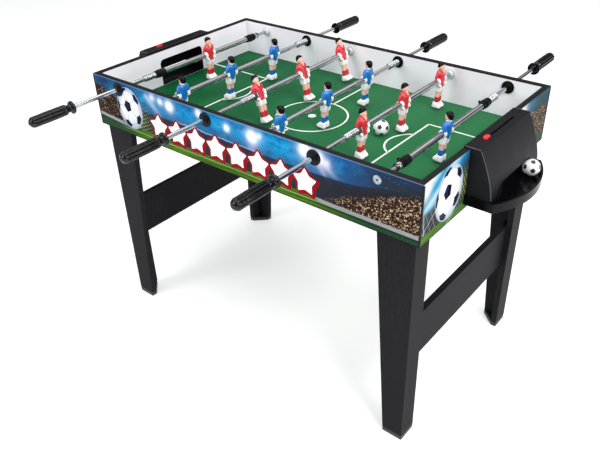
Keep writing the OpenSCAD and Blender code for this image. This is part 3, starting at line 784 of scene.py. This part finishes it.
# ---------------------------------------------------------------- balls
PHI = (1 + 5 ** 0.5) / 2
ICO = [Vector(v).normalized() for v in ((0, 1, PHI), (0, 1, -PHI), (1, PHI, 0), (1, -PHI, 0), (PHI, 0, 1), (PHI, 0, -1))]
DOD = [Vector(v).normalized() for v in ((1, 1, 1), (1, 1, -1), (1, -1, 1), (1, -1, -1), (0, PHI, 1 / PHI), (0, PHI, -1 / PHI), (1 / PHI, 0, PHI), (1 / PHI, 0, -PHI),
                                        (PHI, 1 / PHI, 0), (PHI, -1 / PHI, 0))]
# the six icosahedron axes and ten dodecahedron axes above belong together
SPOT = 1.048


def patch(d):
    """Over 0 inside a black five-sided patch."""
    return max(abs(d.dot(a)) for a in ICO) - max(abs(d.dot(b)) for b in DOD) * SPOT


def ball_material(name, centre, turn):
    mat = bpy.data.materials.new(name)
    t = Tree(mat)
    v = t.coords()
    x, y, z = t.xyz(v)
    d = t.vec(t.mul(t.sub(x, centre[0] * MM), 1000 / 18), t.mul(t.sub(y, centre[1] * MM), 1000 / 18), t.mul(t.sub(z, centre[2] * MM), 1000 / 18))

    def biggest(axes):
        best = None
        for a in axes:
            n = t.t.nodes.new("ShaderNodeVectorMath")
            n.operation = "DOT_PRODUCT"
            t.put(n.inputs[0], d)
            n.inputs[1].default_value = turn @ a
            k = t.m("ABSOLUTE", n.outputs["Value"])
            best = k if best is None else t.m("MAXIMUM", best, k)
        return best
    f = t.sub(biggest(ICO), t.mul(biggest(DOD), SPOT))
    black = t.step(f, -0.006, 0.006)
    seam = t.mul(t.step(f, -0.03, -0.006), t.step(f, 0.03, 0.006))
    n = t.noise(v, 120, 3)
    col = t.mix(black, t.mix(n, (0.80, 0.81, 0.82), (0.90, 0.90, 0.90)), t.mix(n, (0.010, 0.010, 0.012), (0.022, 0.022, 0.025)))
    col = t.mix(t.mul(seam, 0.35), col, (0.20, 0.20, 0.21))
    nrm = t.bump(t.noise(v, 900, 3), 0.08, 0.0004)
    t.finish(col, t.remap(n, 0.3, 0.7, 0.26, 0.36), normal=nrm, coat=0.4, coat_rough=0.12)
    return mat


def make_ball(name, body, node, centre, euler):
    turn = euler if isinstance(euler, Matrix) else Matrix.Rotation(euler[2], 3, "Z") @ Matrix.Rotation(euler[1], 3, "Y") @ Matrix.Rotation(euler[0], 3, "X")
    bm = bmesh.new()
    bmesh.ops.create_icosphere(bm, subdivisions=5, radius=1.0)
    inv = turn.inverted()
    for v in bm.verts:
        d = v.co.normalized()
        f = patch(inv @ d)
        r = 18.0 - 0.02 - 0.22 * math.exp(-(f / 0.016) ** 2)
        v.co = (d * r + Vector(centre)) * MM
    for f in bm.faces:
        f.smooth = True
    me = bpy.data.meshes.new(name)
    bm.to_mesh(me)
    bm.free()
    me.materials.append(ball_material(name + "_skin", centre, turn))
    ob = bpy.data.objects.new(name, me)
    bpy.context.scene.collection.objects.link(ob)
    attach(ob, body)
    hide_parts(node)


make_ball("match_ball_fine", "match_ball", "match_ball", (190, 9, FIELD + 18.3), (0.55, 0.3, 0.2))
SB_Z = Vector((0.42, -0.69, 0.59)).normalized()
SB_X = Vector((0, 0, 1)).cross(SB_Z).normalized()
make_ball("spare_ball_fine", "spare_ball", "spare_ball", (521, 62, RIM - 112.3 + 18.3), Matrix((SB_X, SB_Z.cross(SB_X), SB_Z)).transposed())

# ---------------------------------------------------------------- rounded edges of the hoods, as thin beads in a lighter grey: painted highlight
# the beads round off the hood edges; their grey, far lighter than the hood plastic, is painted highlight where those
# edges catch the light
edge_highlight_mat = std("painted_hood_highlight", (0.075, 0.075, 0.082), 0.30, var=0.15, vscale=30, fine=0.1, fscale=900, spec=0.3)
HOOD_TOP = RIM + 3.2


def hood_highlight_beads():
    p = Part()
    for s in (-1, 1):
        curve = [(482 + 32 * (1 - (1 - k / 24) ** 1.6), HOOD_TOP - (HOOD_TOP - (RIM - 98)) * k / 24) for k in range(24)]
        for sy in (-1, 1):
            y = sy * 107.6
            p.add(*sweep([(s * (IL + 3), y, HOOD_TOP - 0.4), (s * 470, y, HOOD_TOP - 0.4), (s * 480.6, y, HOOD_TOP - 0.4)] + [(s * (x - 0.5), y, z - 0.6) for x, z in curve[1:]], 0.75, 8), edge_highlight_mat)
    p.obj("hood_highlight_beads", "table", [])


hood_highlight_beads()

# ---------------------------------------------------------------- printed sheets
def outline_solid(p, outer, holes, z0, z1, material, matrix):
    """Flat sheet with holes, from z0 to z1."""
    bm = bmesh.new()
    edges = []
    for loop in [outer] + holes:
        vs = [bm.verts.new((a, b, z0)) for a, b in loop]
        edges += [bm.edges.new((vs[k], vs[(k + 1) % len(vs)])) for k in range(len(vs))]
    bmesh.ops.triangle_fill(bm, use_beauty=True, use_dissolve=False, edges=edges)
    out = bmesh.ops.extrude_face_region(bm, geom=list(bm.faces))
    for e in out["geom"]:
        if isinstance(e, bmesh.types.BMVert):
            e.co.z = z1
    bmesh.ops.recalc_face_normals(bm, faces=bm.faces)
    bm.verts.index_update()
    p.add([tuple(v.co) for v in bm.verts], [[v.index for v in f.verts] for f in bm.faces], material, matrix)
    bm.free()


def circle(cx, cy, r, n=40, ry=None):
    return [(cx + r * math.cos(2 * math.pi * k / n), cy + (ry or r) * math.sin(2 * math.pi * k / n)) for k in range(n)]


def side_frame(kind):
    """Matrix from (along, up, out) in mm to the frame; along runs left to right as seen from outside."""
    if kind == "front":
        return Matrix(((1, 0, 0, -HL), (0, 0, -1, -HW), (0, 1, 0, BASE), (0, 0, 0, 1)))
    if kind == "rear":
        return Matrix(((-1, 0, 0, HL), (0, 0, 1, HW), (0, 1, 0, BASE), (0, 0, 0, 1)))
    if kind == "right":
        return Matrix(((0, 0, 1, HL), (1, 0, 0, -HW), (0, 1, 0, BASE), (0, 0, 0, 1)))
    return Matrix(((0, 0, -1, -HL), (-1, 0, 0, HW), (0, 1, 0, BASE), (0, 0, 0, 1)))


def print_coords(t, kind):
    """along and up in mm, from the object's own coordinates."""
    v = t.coords()
    x, y, z = t.xyz(v)
    along = {"front": t.add(t.mul(x, 1000), HL), "rear": t.sub(HL, t.mul(x, 1000)), "right": t.add(t.mul(y, 1000), HW), "left": t.sub(HW, t.mul(y, 1000))}[kind]
    up = t.sub(t.mul(z, 1000), BASE)
    return v, along, up


def crowd_colour(t, a, u, scale=1.0, level=1.0):
    """Small warm dots of many tones, like a far crowd under lights."""
    p = t.vec(t.mul(a, 0.30 * scale), t.mul(u, 0.34 * scale), 0.0)
    d, c = t.cells(p, 1.0)
    r, g, b = t.xyz(c)
    tone = t.ramp(r, [(p, tuple(c * level for c in q)) for p, q in ((0.0, (0.010, 0.005, 0.004)), (0.28, (0.055, 0.025, 0.012)), (0.50, (0.17, 0.085, 0.038)), (0.74, (0.42, 0.26, 0.14)), (0.94, (0.78, 0.66, 0.48)))])
    shape = t.step(d, 0.62, 0.34)
    p2 = t.vec(t.mul(a, 0.85 * scale), t.mul(u, 0.95 * scale), 3.0)
    n = t.noise(p2, 1.0, 2)
    return t.mix(t.mul(shape, t.remap(n, 0.3, 0.7, 0.55, 1.2)), (0.018, 0.010, 0.008), tone)


def grass_colour(t, a, u, bright):
    n = t.noise(t.vec(t.mul(a, 0.012), t.mul(u, 0.22), 1.0), 1.0, 4, 0.6)
    n2 = t.noise(t.vec(t.mul(a, 0.25), t.mul(u, 0.5), 5.0), 1.0, 4, 0.7)
    lime = t.mix(t.step(n, 0.35, 0.65), (0.012, 0.058, 0.003), (0.070, 0.170, 0.008))
    lime = t.mix(t.mul(t.step(n2, 0.45, 0.75), 0.35), lime, (0.14, 0.26, 0.02))
    dark = t.mix(t.step(n2, 0.3, 0.7), (0.006, 0.030, 0.012), (0.020, 0.075, 0.028))
    return t.mix(bright, dark, lime)


def lines_pattern(t, x, pitch, width):
    """1 on thin lines every pitch mm of x."""
    f = t.m("FRACT", t.m("DIVIDE", x, pitch))
    return t.step(t.m("ABSOLUTE", t.sub(f, 0.5)), width / pitch, width / pitch * 0.45)


def long_print(kind):
    """Night stadium for the long sides: floodlit sky, stands, crowd and grass."""
    mat = bpy.data.materials.new("print_" + kind)
    t = Tree(mat)
    v, a, u = print_coords(t, kind)
    s = t.m("DIVIDE", a, 920.0)
    w = t.m("DIVIDE", u, 129.0)
    soft = t.noise(t.vec(t.mul(a, 0.02), t.mul(u, 0.03), 0.0), 1.0, 4, 0.6)
    sky = t.ramp(s, [(0.0, (0.010, 0.022, 0.040)), (0.10, (0.006, 0.030, 0.085)), (0.20, (0.006, 0.145, 0.32)), (0.34, (0.004, 0.200, 0.46)), (0.50, (0.004, 0.215, 0.47)),
                     (0.66, (0.003, 0.270, 0.56)), (0.775, (0.010, 0.130, 0.36)), (0.84, (0.014, 0.060, 0.19)), (0.92, (0.018, 0.034, 0.055)), (1.0, (0.018, 0.024, 0.030))])
    sky = t.mix(t.mul(t.step(soft, 0.40, 0.75), t.mul(t.step(s, 0.95, 0.75), 0.42)), sky, (0.02, 0.38, 0.66))
    sky = t.mix(t.mul(t.step(w, 0.86, 1.0), 0.45), sky, (0.004, 0.05, 0.22))
    blot = t.noise(t.vec(t.mul(a, 0.045), t.mul(u, 0.07), 12.0), 1.0, 3, 0.6)
    sky = t.mix(t.mul(t.step(blot, 0.55, 0.35), 0.55), sky, (0.004, 0.060, 0.17))
    sparkle = t.noise(t.vec(t.mul(a, 0.5), t.mul(u, 0.6), 3.0), 1.0, 2, 0.7)
    sky = t.mix(t.mul(t.step(sparkle, 0.60, 0.78), t.mul(t.step(s, 0.92, 0.7), 0.35)), sky, (0.01, 0.48, 0.80))
    sky = t.mix(t.mul(t.step(w, 0.84, 0.62), 0.62), sky, (0.022, 0.070, 0.17))
    # towards the right the sky turns to night
    sky = t.mix(t.mul(t.step(s, 0.80, 0.92), 0.55), sky, (0.020, 0.021, 0.026))
    # floodlights with their haze
    light = None
    for ls, lv, r, k in ((0.233, 0.93, 10, 0.65), (0.262, 0.90, 9, 0.75), (0.295, 0.87, 13, 1.15), (0.398, 0.93, 10, 1.0), (0.488, 0.84, 9, 1.0),
                         (0.566, 0.84, 15, 1.25), (0.590, 0.90, 8, 0.5), (0.716, 0.93, 16, 1.25), (0.752, 0.90, 13, 1.0), (0.775, 0.84, 8, 0.5)):
        g = t.glow(a, u, ls * 920, lv * 129, r)
        h = t.glow(a, u, ls * 920, lv * 129, r * 2.3)
        k2 = t.add(t.mul(g, k), t.mul(h, 0.09 * k))
        light = k2 if light is None else t.add(light, k2)
    # two light beams falling to the right of the last lamp
    for a0, u0, dx, dz, wid, k in ((0.725 * 920, 126, 0.84, -0.54, 8, 0.60), (0.735 * 920, 118, 0.62, -0.78, 6, 0.35), (0.20 * 920, 126, 0.72, -0.69, 9, 0.40)):
        px, pz = t.sub(a, a0), t.sub(u, u0)
        along = t.add(t.mul(px, dx), t.mul(pz, dz))
        across = t.add(t.mul(px, -dz), t.mul(pz, dx))
        beam = t.m("EXPONENT", t.mul(t.mul(across, across), -1.0 / (wid * wid)))
        beam = t.mul(beam, t.mul(t.step(along, 0, 12), t.step(along, 105, 20)))
        light = t.add(light, t.mul(beam, k))
    light = t.m("POWER", t.m("MINIMUM", light, 1.0), 1.35)
    col = t.mix(light, sky, (0.86, 0.93, 1.0))
    # a warm and violet tint close to the brightest lamps
    tint = t.add(t.glow(a, u, 0.765 * 920, 0.80 * 129, 17), t.glow(a, u, 0.565 * 920, 0.66 * 129, 13))
    col = t.mix(t.mul(tint, 0.35), col, (0.55, 0.42, 0.72))
    # small cyan lamps
    d, c = t.cells(t.vec(t.mul(a, 0.040), t.mul(u, 0.055), 2.0), 1.0, 0.85)
    r, g, b = t.xyz(c)
    dots = t.mul(t.step(d, 0.085, 0.045), t.mul(t.step(r, 0.35, 0.5), t.mul(t.step(s, 0.17, 0.2), t.step(s, 0.9, 0.8))))
    col = t.mix(t.mul(dots, 0.85), col, (0.35, 0.85, 1.0))
    d, c = t.cells(t.vec(t.mul(a, 0.11), t.mul(u, 0.14), 7.0), 1.0, 1.0)
    col = t.mix(t.mul(t.step(d, 0.12, 0.06), 0.4), col, (0.10, 0.45, 0.85))
    # dark stands under the sky, with rows of faint seats and a dotted light line on top
    edge = t.add(t.remap(s, 0.1, 0.72, 0.60, 0.60), t.mul(t.sub(soft, 0.5), 0.10))
    edge = t.add(edge, t.mul(t.step(s, 0.78, 0.98), 0.20))
    stand = t.step(t.sub(edge, w), -0.015, 0.02)
    sp = t.noise(t.vec(t.mul(a, 0.6), t.mul(u, 0.9), 0.0), 1.0, 2, 0.7)
    rows = lines_pattern(t, t.add(u, t.mul(a, 0.02)), 4.2, 1.6)
    seats = t.mix(t.mul(t.step(sp, 0.45, 0.70), 0.60), (0.006, 0.005, 0.006), (0.085, 0.060, 0.050))
    seats = t.mix(t.mul(rows, 0.25), seats, (0.030, 0.032, 0.042))
    seats = t.mix(t.mul(t.step(t.sub(w, t.sub(edge, 0.12)), 0.0, 0.12), 0.25), seats, (0.010, 0.040, 0.10))
    col = t.mix(t.mul(stand, 0.93), col, seats)
    rail = t.mul(t.step(t.m("ABSOLUTE", t.sub(w, t.add(edge, 0.012))), 0.012, 0.004), lines_pattern(t, a, 4.0, 1.7))
    col = t.mix(t.mul(rail, t.mul(t.step(s, 0.30, 0.34), t.mul(t.step(s, 0.60, 0.55), 0.8))), col, (0.62, 0.68, 0.75))
    # crowd: a wedge on the right and a block on the left
    crowd = crowd_colour(t, a, u)
    top_r = t.remap(s, 0.75, 1.0, 0.20, 0.83)
    wob = t.mul(t.sub(t.noise(t.vec(t.mul(a, 0.05), t.mul(u, 0.05), 9.0), 1.0, 3), 0.5), 0.10)
    m_r = t.mul(t.step(t.sub(t.add(top_r, wob), w), -0.03, 0.05), t.step(s, 0.74, 0.82))
    top_l = t.remap(s, 0.0, 0.10, 0.86, 0.66)
    m_l = t.mul(t.step(t.sub(t.add(top_l, wob), w), -0.02, 0.04), t.step(s, 0.125, 0.10))
    shade_r = t.remap(t.sub(top_r, w), 0.0, 0.3, 0.72, 1.1)
    crowd = t.mix(t.m("MINIMUM", t.m("MAXIMUM", t.sub(1.0, shade_r), 0.0), 1.0), crowd, (0.030, 0.020, 0.018))
    col = t.mix(m_r, col, crowd)
    col = t.mix(m_l, col, crowd_colour(t, t.add(a, 40.0), u, 0.72, 0.40))
    # net strands beside the ball
    net = t.m("MAXIMUM", lines_pattern(t, t.add(a, t.mul(u, 0.75)), 10.5, 1.0), lines_pattern(t, t.sub(u, t.mul(a, 0.45)), 9.0, 0.9))
    near = t.mul(t.glow(a, u, 0.155 * 920, 0.36 * 129, 42), t.step(s, 0.115, 0.14))
    col = t.mix(t.mul(net, t.mul(near, 1.1)), col, (0.42, 0.52, 0.10))
    # pitch: a pale board line on both ends, then grass
    level = t.add(t.remap(t.m("MINIMUM", s, 0.15), 0.0, 0.15, 0.27, 0.19), t.mul(t.step(s, 0.70, 0.80), -0.015))
    bright = t.mul(t.step(s, 0.07, 0.17), t.step(s, 0.90, 0.70))
    grass = grass_colour(t, a, u, bright)
    ends = t.sub(1.0, t.mul(t.step(s, 0.09, 0.14), t.step(s, 0.755, 0.735)))
    below = t.step(t.sub(level, w), -0.006, 0.006)
    col = t.mix(below, col, grass)
    band = t.mul(t.mul(t.step(t.sub(w, t.sub(level, 0.065)), 0.0, 0.01), t.step(t.sub(w, level), 0.012, 0.0)), ends)
    n3 = t.noise(t.vec(t.mul(a, 0.05), t.mul(u, 0.3), 4.0), 1.0, 3)
    col = t.mix(t.mul(band, 0.9), col, t.mix(n3, (0.16, 0.17, 0.18), (0.40, 0.42, 0.43)))
    dark = t.mul(t.mul(t.step(t.sub(w, t.sub(level, 0.10)), 0.0, 0.01), t.step(t.sub(w, t.sub(level, 0.065)), 0.006, -0.004)), ends)
    col = t.mix(t.mul(dark, 0.8), col, (0.012, 0.016, 0.016))
    white = t.mul(t.step(t.m("ABSOLUTE", t.sub(w, 0.115)), 0.013, 0.005), t.mul(t.step(s, 0.055, 0.16), t.step(s, 0.86, 0.70)))
    col = t.mix(t.mul(white, 0.22), col, (0.75, 0.85, 0.55))
    # pale line at the top, dark edge at the bottom
    col = t.mix(t.mul(t.step(u, 128.8, 129.6), 0.20), col, (0.45, 0.55, 0.70))
    col = t.mix(t.step(u, 2.6, 1.9), col, (0.012, 0.012, 0.014))
    nrm = t.bump(t.noise(v, 420, 2), 0.03, 0.0003)
    t.finish(col, t.remap(t.noise(v, 40, 3), 0.3, 0.7, 0.30, 0.38), normal=nrm, spec=0.02)
    return mat


def end_print(kind):
    """Goal corner for the short ends: beams of light, net, crowd and grass."""
    mat = bpy.data.materials.new("print_" + kind)
    t = Tree(mat)
    v, a0, u = print_coords(t, kind)
    a = a0 if kind == "right" else t.sub(546.0, a0)   # the left end is the right one mirrored
    w = t.m("DIVIDE", u, 129.0)
    soft = t.noise(t.vec(t.mul(a, 0.03), t.mul(u, 0.03), 0.0), 1.0, 4, 0.6)
    # bands of light falling from the upper edge towards the corner
    diag = t.sub(t.add(t.mul(u, 0.85), t.mul(t.sub(soft, 0.5), 14.0)), t.mul(a, 0.53))
    sky = t.ramp(t.remap(diag, 10, 110, 0, 1), [(0.0, (0.006, 0.045, 0.090)), (0.20, (0.010, 0.13, 0.27)), (0.33, (0.12, 0.36, 0.50)), (0.45, (0.36, 0.52, 0.58)), (0.55, (0.06, 0.28, 0.42)),
                                                (0.64, (0.012, 0.19, 0.33)), (0.74, (0.22, 0.46, 0.56)), (0.84, (0.56, 0.60, 0.58)), (1.0, (0.66, 0.64, 0.60))])
    sky = t.mix(t.mul(t.glow(a, u, 12, 112, 14), 0.7), sky, (0.74, 0.74, 0.70))
    sky = t.mix(t.mul(t.glow(a, u, 10, 96, 10), 0.35), sky, (0.55, 0.44, 0.28))
    sky = t.mix(t.mul(t.glow(a, u, 46, 66, 14), 0.20), sky, (0.40, 0.26, 0.28))
    sky = t.mix(t.mul(t.step(a, 135, 160), t.step(u, 120, 75)), sky, (0.010, 0.022, 0.014))
    col = sky
    # dark stands low down, with goal frame and net lines
    dark = t.mul(t.step(t.add(u, t.mul(t.sub(soft, 0.5), 16)), 78, 58), t.step(a, 200, 60))
    n = t.noise(t.vec(t.mul(a, 0.5), t.mul(u, 0.5), 0.0), 1.0, 3, 0.7)
    low = t.mix(t.step(n, 0.5, 0.75), (0.012, 0.012, 0.012), (0.060, 0.046, 0.028))
    col = t.mix(t.mul(dark, 0.92), col, low)
    net = t.m("MAXIMUM", lines_pattern(t, t.add(a, t.mul(u, 0.45)), 17, 0.9), lines_pattern(t, t.sub(u, t.mul(a, 0.62)), 15, 0.8))
    col = t.mix(t.mul(net, t.mul(t.step(a, 96, 40), t.mul(t.step(u, 78, 52), 0.42))), col, (0.42, 0.46, 0.46))
    frame_line = t.add(t.step(t.m("ABSOLUTE", t.sub(a, t.add(13.0, t.mul(u, -0.10)))), 1.5, 0.7), t.step(t.m("ABSOLUTE", t.sub(u, t.add(20.0, t.mul(a, 0.75)))), 1.6, 0.8))
    col = t.mix(t.mul(t.m("MINIMUM", frame_line, 1.0), t.mul(t.step(u, 70, 58), t.mul(t.step(a, 70, 40), 0.5))), col, (0.55, 0.57, 0.57))
    # net strands right of the ball
    net2 = t.m("MAXIMUM", lines_pattern(t, t.add(a, t.mul(u, 0.55)), 10, 1.0), lines_pattern(t, t.sub(u, t.mul(a, 0.4)), 9, 0.9))
    col = t.mix(t.mul(net2, t.mul(t.glow(a, u, 148, 62, 32), 0.9)), col, (0.50, 0.58, 0.14))
    # beyond the goal: crowd under a dark blue sky with one lamp
    far = t.step(a, 330, 350)
    night = t.ramp(w, [(0.0, (0.010, 0.020, 0.030)), (0.8, (0.010, 0.035, 0.048)), (1.0, (0.012, 0.050, 0.075))])
    night = t.mix(t.mul(t.glow(a, u, 445, 124, 26), 0.5), night, (0.02, 0.16, 0.28))
    night = t.mix(t.m("MINIMUM", t.glow(a, u, 402, 120, 20), 1.0), night, (0.66, 0.68, 0.68))
    crowd = crowd_colour(t, a, u, 0.9, 0.62)
    wob = t.mul(t.sub(t.noise(t.vec(t.mul(a, 0.05), t.mul(u, 0.05), 9.0), 1.0, 3), 0.5), 0.10)
    night = t.mix(t.step(t.sub(t.add(t.remap(a, 380, 540, 0.86, 0.74), wob), w), -0.03, 0.05), night, crowd)
    col = t.mix(far, col, night)
    # plain dark where the hood covers the sheet
    col = t.mix(t.step(t.m("ABSOLUTE", t.sub(a, 273.0)), 107.0, 105.5), col, (0.010, 0.010, 0.012))
    # grass
    level = t.add(19.0, t.mul(t.step(a, 160, 330), 6.0))
    col = t.mix(t.step(t.sub(level, u), -1.0, 1.0), col, grass_colour(t, t.add(a, 300.0), u, t.step(a, 420, 300)))
    white = t.step(t.m("ABSOLUTE", t.sub(t.sub(a, 92.0), t.mul(u, 1.9))), 2.4, 0.9)
    col = t.mix(t.mul(white, t.mul(t.step(u, 17, 13), 0.5)), col, (0.80, 0.85, 0.75))
    col = t.mix(t.step(u, 2.6, 1.9), col, (0.012, 0.012, 0.014))
    nrm = t.bump(t.noise(v, 420, 2), 0.03, 0.0003)
    t.finish(col, t.remap(t.noise(v, 40, 3), 0.3, 0.7, 0.30, 0.38), normal=nrm, spec=0.02)
    return mat


print_white = std("print_white", (0.86, 0.87, 0.88), 0.28, var=0.03, vscale=40, spec=0.02)
print_red = std("print_red", (0.25, 0.004, 0.009), 0.3, var=0.10, vscale=25, spec=0.02)
print_navy = std("print_navy", (0.008, 0.009, 0.028), 0.28, var=0.3, vscale=60, spec=0.02)
print_seam = std("print_seam", (0.30, 0.33, 0.38), 0.3, var=0.1, vscale=60, spec=0.02)
print_grey = std("print_grey", (0.36, 0.40, 0.45), 0.3, var=0.5, vscale=140, spec=0.02)
edge_black = std("edge_strip", (0.010, 0.010, 0.012), 0.40, var=0.2, vscale=40, fine=0.1, spec=0.10)


def ball_print_material(name, kind, ca, cu, ra, ru):
    """White leather of the printed football: bright above, blue-grey at the edge and below."""
    mat = bpy.data.materials.new(name)
    t = Tree(mat)
    v, a, u = print_coords(t, kind)
    pa, pu = t.m("DIVIDE", t.sub(a, ca), ra), t.m("DIVIDE", t.sub(u, cu), ru)
    r2 = t.add(t.mul(pa, pa), t.mul(pu, pu))
    col = t.mix(t.step(r2, 0.30, 1.05), (0.76, 0.78, 0.80), (0.30, 0.36, 0.45))
    col = t.mix(t.mul(t.step(t.sub(t.mul(pa, 0.3), pu), 0.1, 1.0), 0.45), col, (0.30, 0.36, 0.45))
    n = t.noise(v, 45, 4)
    col = t.mix(t.mul(t.step(n, 0.55, 0.7), 0.15), col, (0.55, 0.60, 0.68))
    t.finish(col, 0.36, spec=0.02)
    return mat


def printed_ball(p, kind, ca, cu, ra, ru, turn, z0):
    """Football drawn flat: an ellipse with five-sided patches and seams."""
    m = side_frame(kind)
    white = ball_print_material("print_ball_" + kind, kind, ca, cu, ra, ru)
    p.add(*plate(circle(ca, cu, ra, 72, ru), z0, z0 + 0.08), white, m)
    face = ICO[0].rotation_difference(Vector((0, 0, 1))).to_matrix()
    side = face @ ICO[4]
    spin = Matrix.Rotation(math.radians(turn[0]) - math.atan2(side.y, side.x), 3, "Z")
    rot = Matrix.Rotation(-math.radians(turn[2]), 3, "X") @ Matrix.Rotation(math.radians(turn[1]), 3, "Y") @ spin @ face
    icos = [rot @ v for v in ICO] + [-(rot @ v) for v in ICO]
    dods = [rot @ v for v in DOD] + [-(rot @ v) for v in DOD]

    def flat(d):
        x, y = d.x, d.y
        if d.z < 0:
            l = math.hypot(x, y) or 1
            x, y = x / l, y / l
        k = 0.985
        return (ca + ra * x * k, cu + ru * y * k)
    for c in icos:
        if c.z < -0.30:
            continue
        near = sorted(dods, key=lambda d: -d.dot(c))[:5]
        ax = c.orthogonal().normalized()
        ay = c.cross(ax)
        near.sort(key=lambda d: math.atan2(d.dot(ay), d.dot(ax)))
        tips = []
        for k in range(5):
            tip = (near[k] + near[(k + 1) % 5]).normalized()
            tips.append((c * (1 - 0.56) + tip * 0.56).normalized())
        ring = []
        for k in range(5):
            for j in range(7):
                ring.append((tips[k] * (1 - j / 7) + tips[(k + 1) % 5] * (j / 7)).normalized())
        if max(d.z for d in ring) < 0.04:
            continue
        pts = [flat(d) for d in ring]
        # drop points that fall on each other at the limb
        keep = [q for k, q in enumerate(pts) if math.dist(q, pts[k - 1]) > 0.05]
        if len(keep) > 3:
            p.add(*plate(keep, z0 + 0.08, z0 + 0.16), print_navy, m)
        # seams run on from each tip to the neighbour's tip
        for k, tip in enumerate(tips):
            other = sorted(icos, key=lambda d: -d.dot(tip))[1]
            mid = (c + other).normalized()
            if tip.z > 0.05 and mid.z > 0.05:
                q0, q1 = Vector(flat(tip)), Vector(flat(mid))
                dv = q1 - q0
                if dv.length > 0.5:
                    nv = Vector((-dv.y, dv.x)).normalized() * 0.55
                    p.add(*plate([tuple(q0 + nv), tuple(q0 - nv), tuple(q1 - nv), tuple(q1 + nv)], z0 + 0.08, z0 + 0.14), print_seam, m)


def star(cx, cy, r, inner, turn=0.0, squash=1.0):
    pts = []
    for k in range(10):
        a = math.pi / 2 + math.pi * k / 5 + turn
        rr = r if k % 2 == 0 else inner
        pts.append((cx + rr * math.cos(a) * squash, cy + rr * math.sin(a)))
    return pts


def rounded(points, radius, n=5):
    """Rounds every corner of an outline."""
    out = []
    m = len(points)
    for k in range(m):
        a, b, c = Vector(points[k - 1]), Vector(points[k]), Vector(points[(k + 1) % m])
        d0, d1 = (a - b), (c - b)
        t = min(radius, d0.length * 0.45, d1.length * 0.45)
        p0, p1 = b + d0.normalized() * t, b + d1.normalized() * t
        for j in range(n + 1):
            f = j / n
            q = p0 * (1 - f) ** 2 + b * 2 * f * (1 - f) + p1 * f * f
            out.append((q.x, q.y))
    return out


def long_side(kind):
    p = Part()
    m = side_frame(kind)
    s = -1 if kind == "front" else 1
    holes = []
    for i in range(6):
        if SIDE[i] == s:
            a = rod_x(i) + HL if kind == "front" else HL - rod_x(i)
            holes.append(circle(a, RODZ - BASE, 9.5))
    outline_solid(p, [(0, 0), (920, 0), (920, 131.3), (0, 131.3)], holes, 0.0, 0.4, long_print(kind), m)
    printed_ball(p, kind, 125, 70.5, 45, 52.5, (38, -9, 5), 0.4)
    printed_ball_small(p, kind, 825, 110, 9.0, 0.4)
    # eight plain stars in place of a title, each with a red border and shadow
    for k in range(8):
        cx = 226 + k * 61.6
        cy = 0.40 * 129
        p.add(*plate(rounded(star(cx + 3.4, cy - 4.6, 38.5, 24.5), 8), 0.4, 0.46), print_red, m)
        p.add(*plate(rounded(star(cx, cy - 1.5, 37.0, 23.5), 8), 0.46, 0.52), print_red, m)
        p.add(*plate(rounded(star(cx, cy - 1.5, 31.0, 18.0), 4.0), 0.52, 0.58), print_white, m)
    p.obj("print_" + kind, "table", [], smooth=False)


def printed_ball_small(p, kind, ca, cu, r, z0):
    m = side_frame(kind)
    p.add(*plate(circle(ca, cu, r, 36), z0, z0 + 0.06), print_grey, m)
    for k in range(5):
        a = 2 * math.pi * k / 5 + 0.3
        p.add(*plate(circle(ca + r * 0.72 * math.cos(a), cu + r * 0.72 * math.sin(a), r * 0.20, 10), z0 + 0.06, z0 + 0.12), print_seam, m)
    p.add(*plate(circle(ca - 0.4, cu, r * 0.27, 5), z0 + 0.06, z0 + 0.12), print_navy, m)


def short_side(kind):
    p = Part()
    m = side_frame(kind)
    mouth = [(273 - 75, 39.2), (273 + 75, 39.2)]
    arc_pts = [(273 + 63 + 12 * math.cos(math.radians(a)), 39 + 56 + 12 * math.sin(math.radians(a))) for a in range(0, 91, 15)]
    arc_pts += [(273 - 63 + 12 * math.cos(math.radians(a)), 39 + 56 + 12 * math.sin(math.radians(a))) for a in range(90, 181, 15)]
    outline_solid(p, [(0, 0), (546, 0), (546, 131.3), (382, 131.3), (382, 128.4), (164, 128.4), (164, 131.3), (0, 131.3)], [mouth + arc_pts], 0.0, 0.4, end_print(kind), m)
    near = 97 if kind == "right" else 546 - 97
    printed_ball(p, kind, near, 70, 51, 57.5, (33, -8, 6) if kind == "right" else (147, 8, 6), 0.4)
    p.obj("print_" + kind, "table", [], smooth=False)


for kind in ("front", "rear"):
    long_side(kind)
for kind in ("right", "left"):
    short_side(kind)

# black corner strips, folded round each upright corner
p = Part()
for sx in (-1, 1):
    for sy in (-1, 1):
        pts = [(HL - 2.6, HW + 0.38), (HL - 2.6, HW + 0.9), (HL + 0.4, HW + 0.9), (HL + 0.75, HW + 0.75), (HL + 0.9, HW + 0.4), (HL + 0.9, HW - 2.6), (HL + 0.38, HW - 2.6), (HL + 0.38, HW + 0.38)]
        pts = [(sx * a, sy * b) for a, b in pts]
        p.add(*plate(pts, BASE + 0.2, RIM - 3.1), edge_black)
p.obj("corner_strips", "table", [], smooth=False)
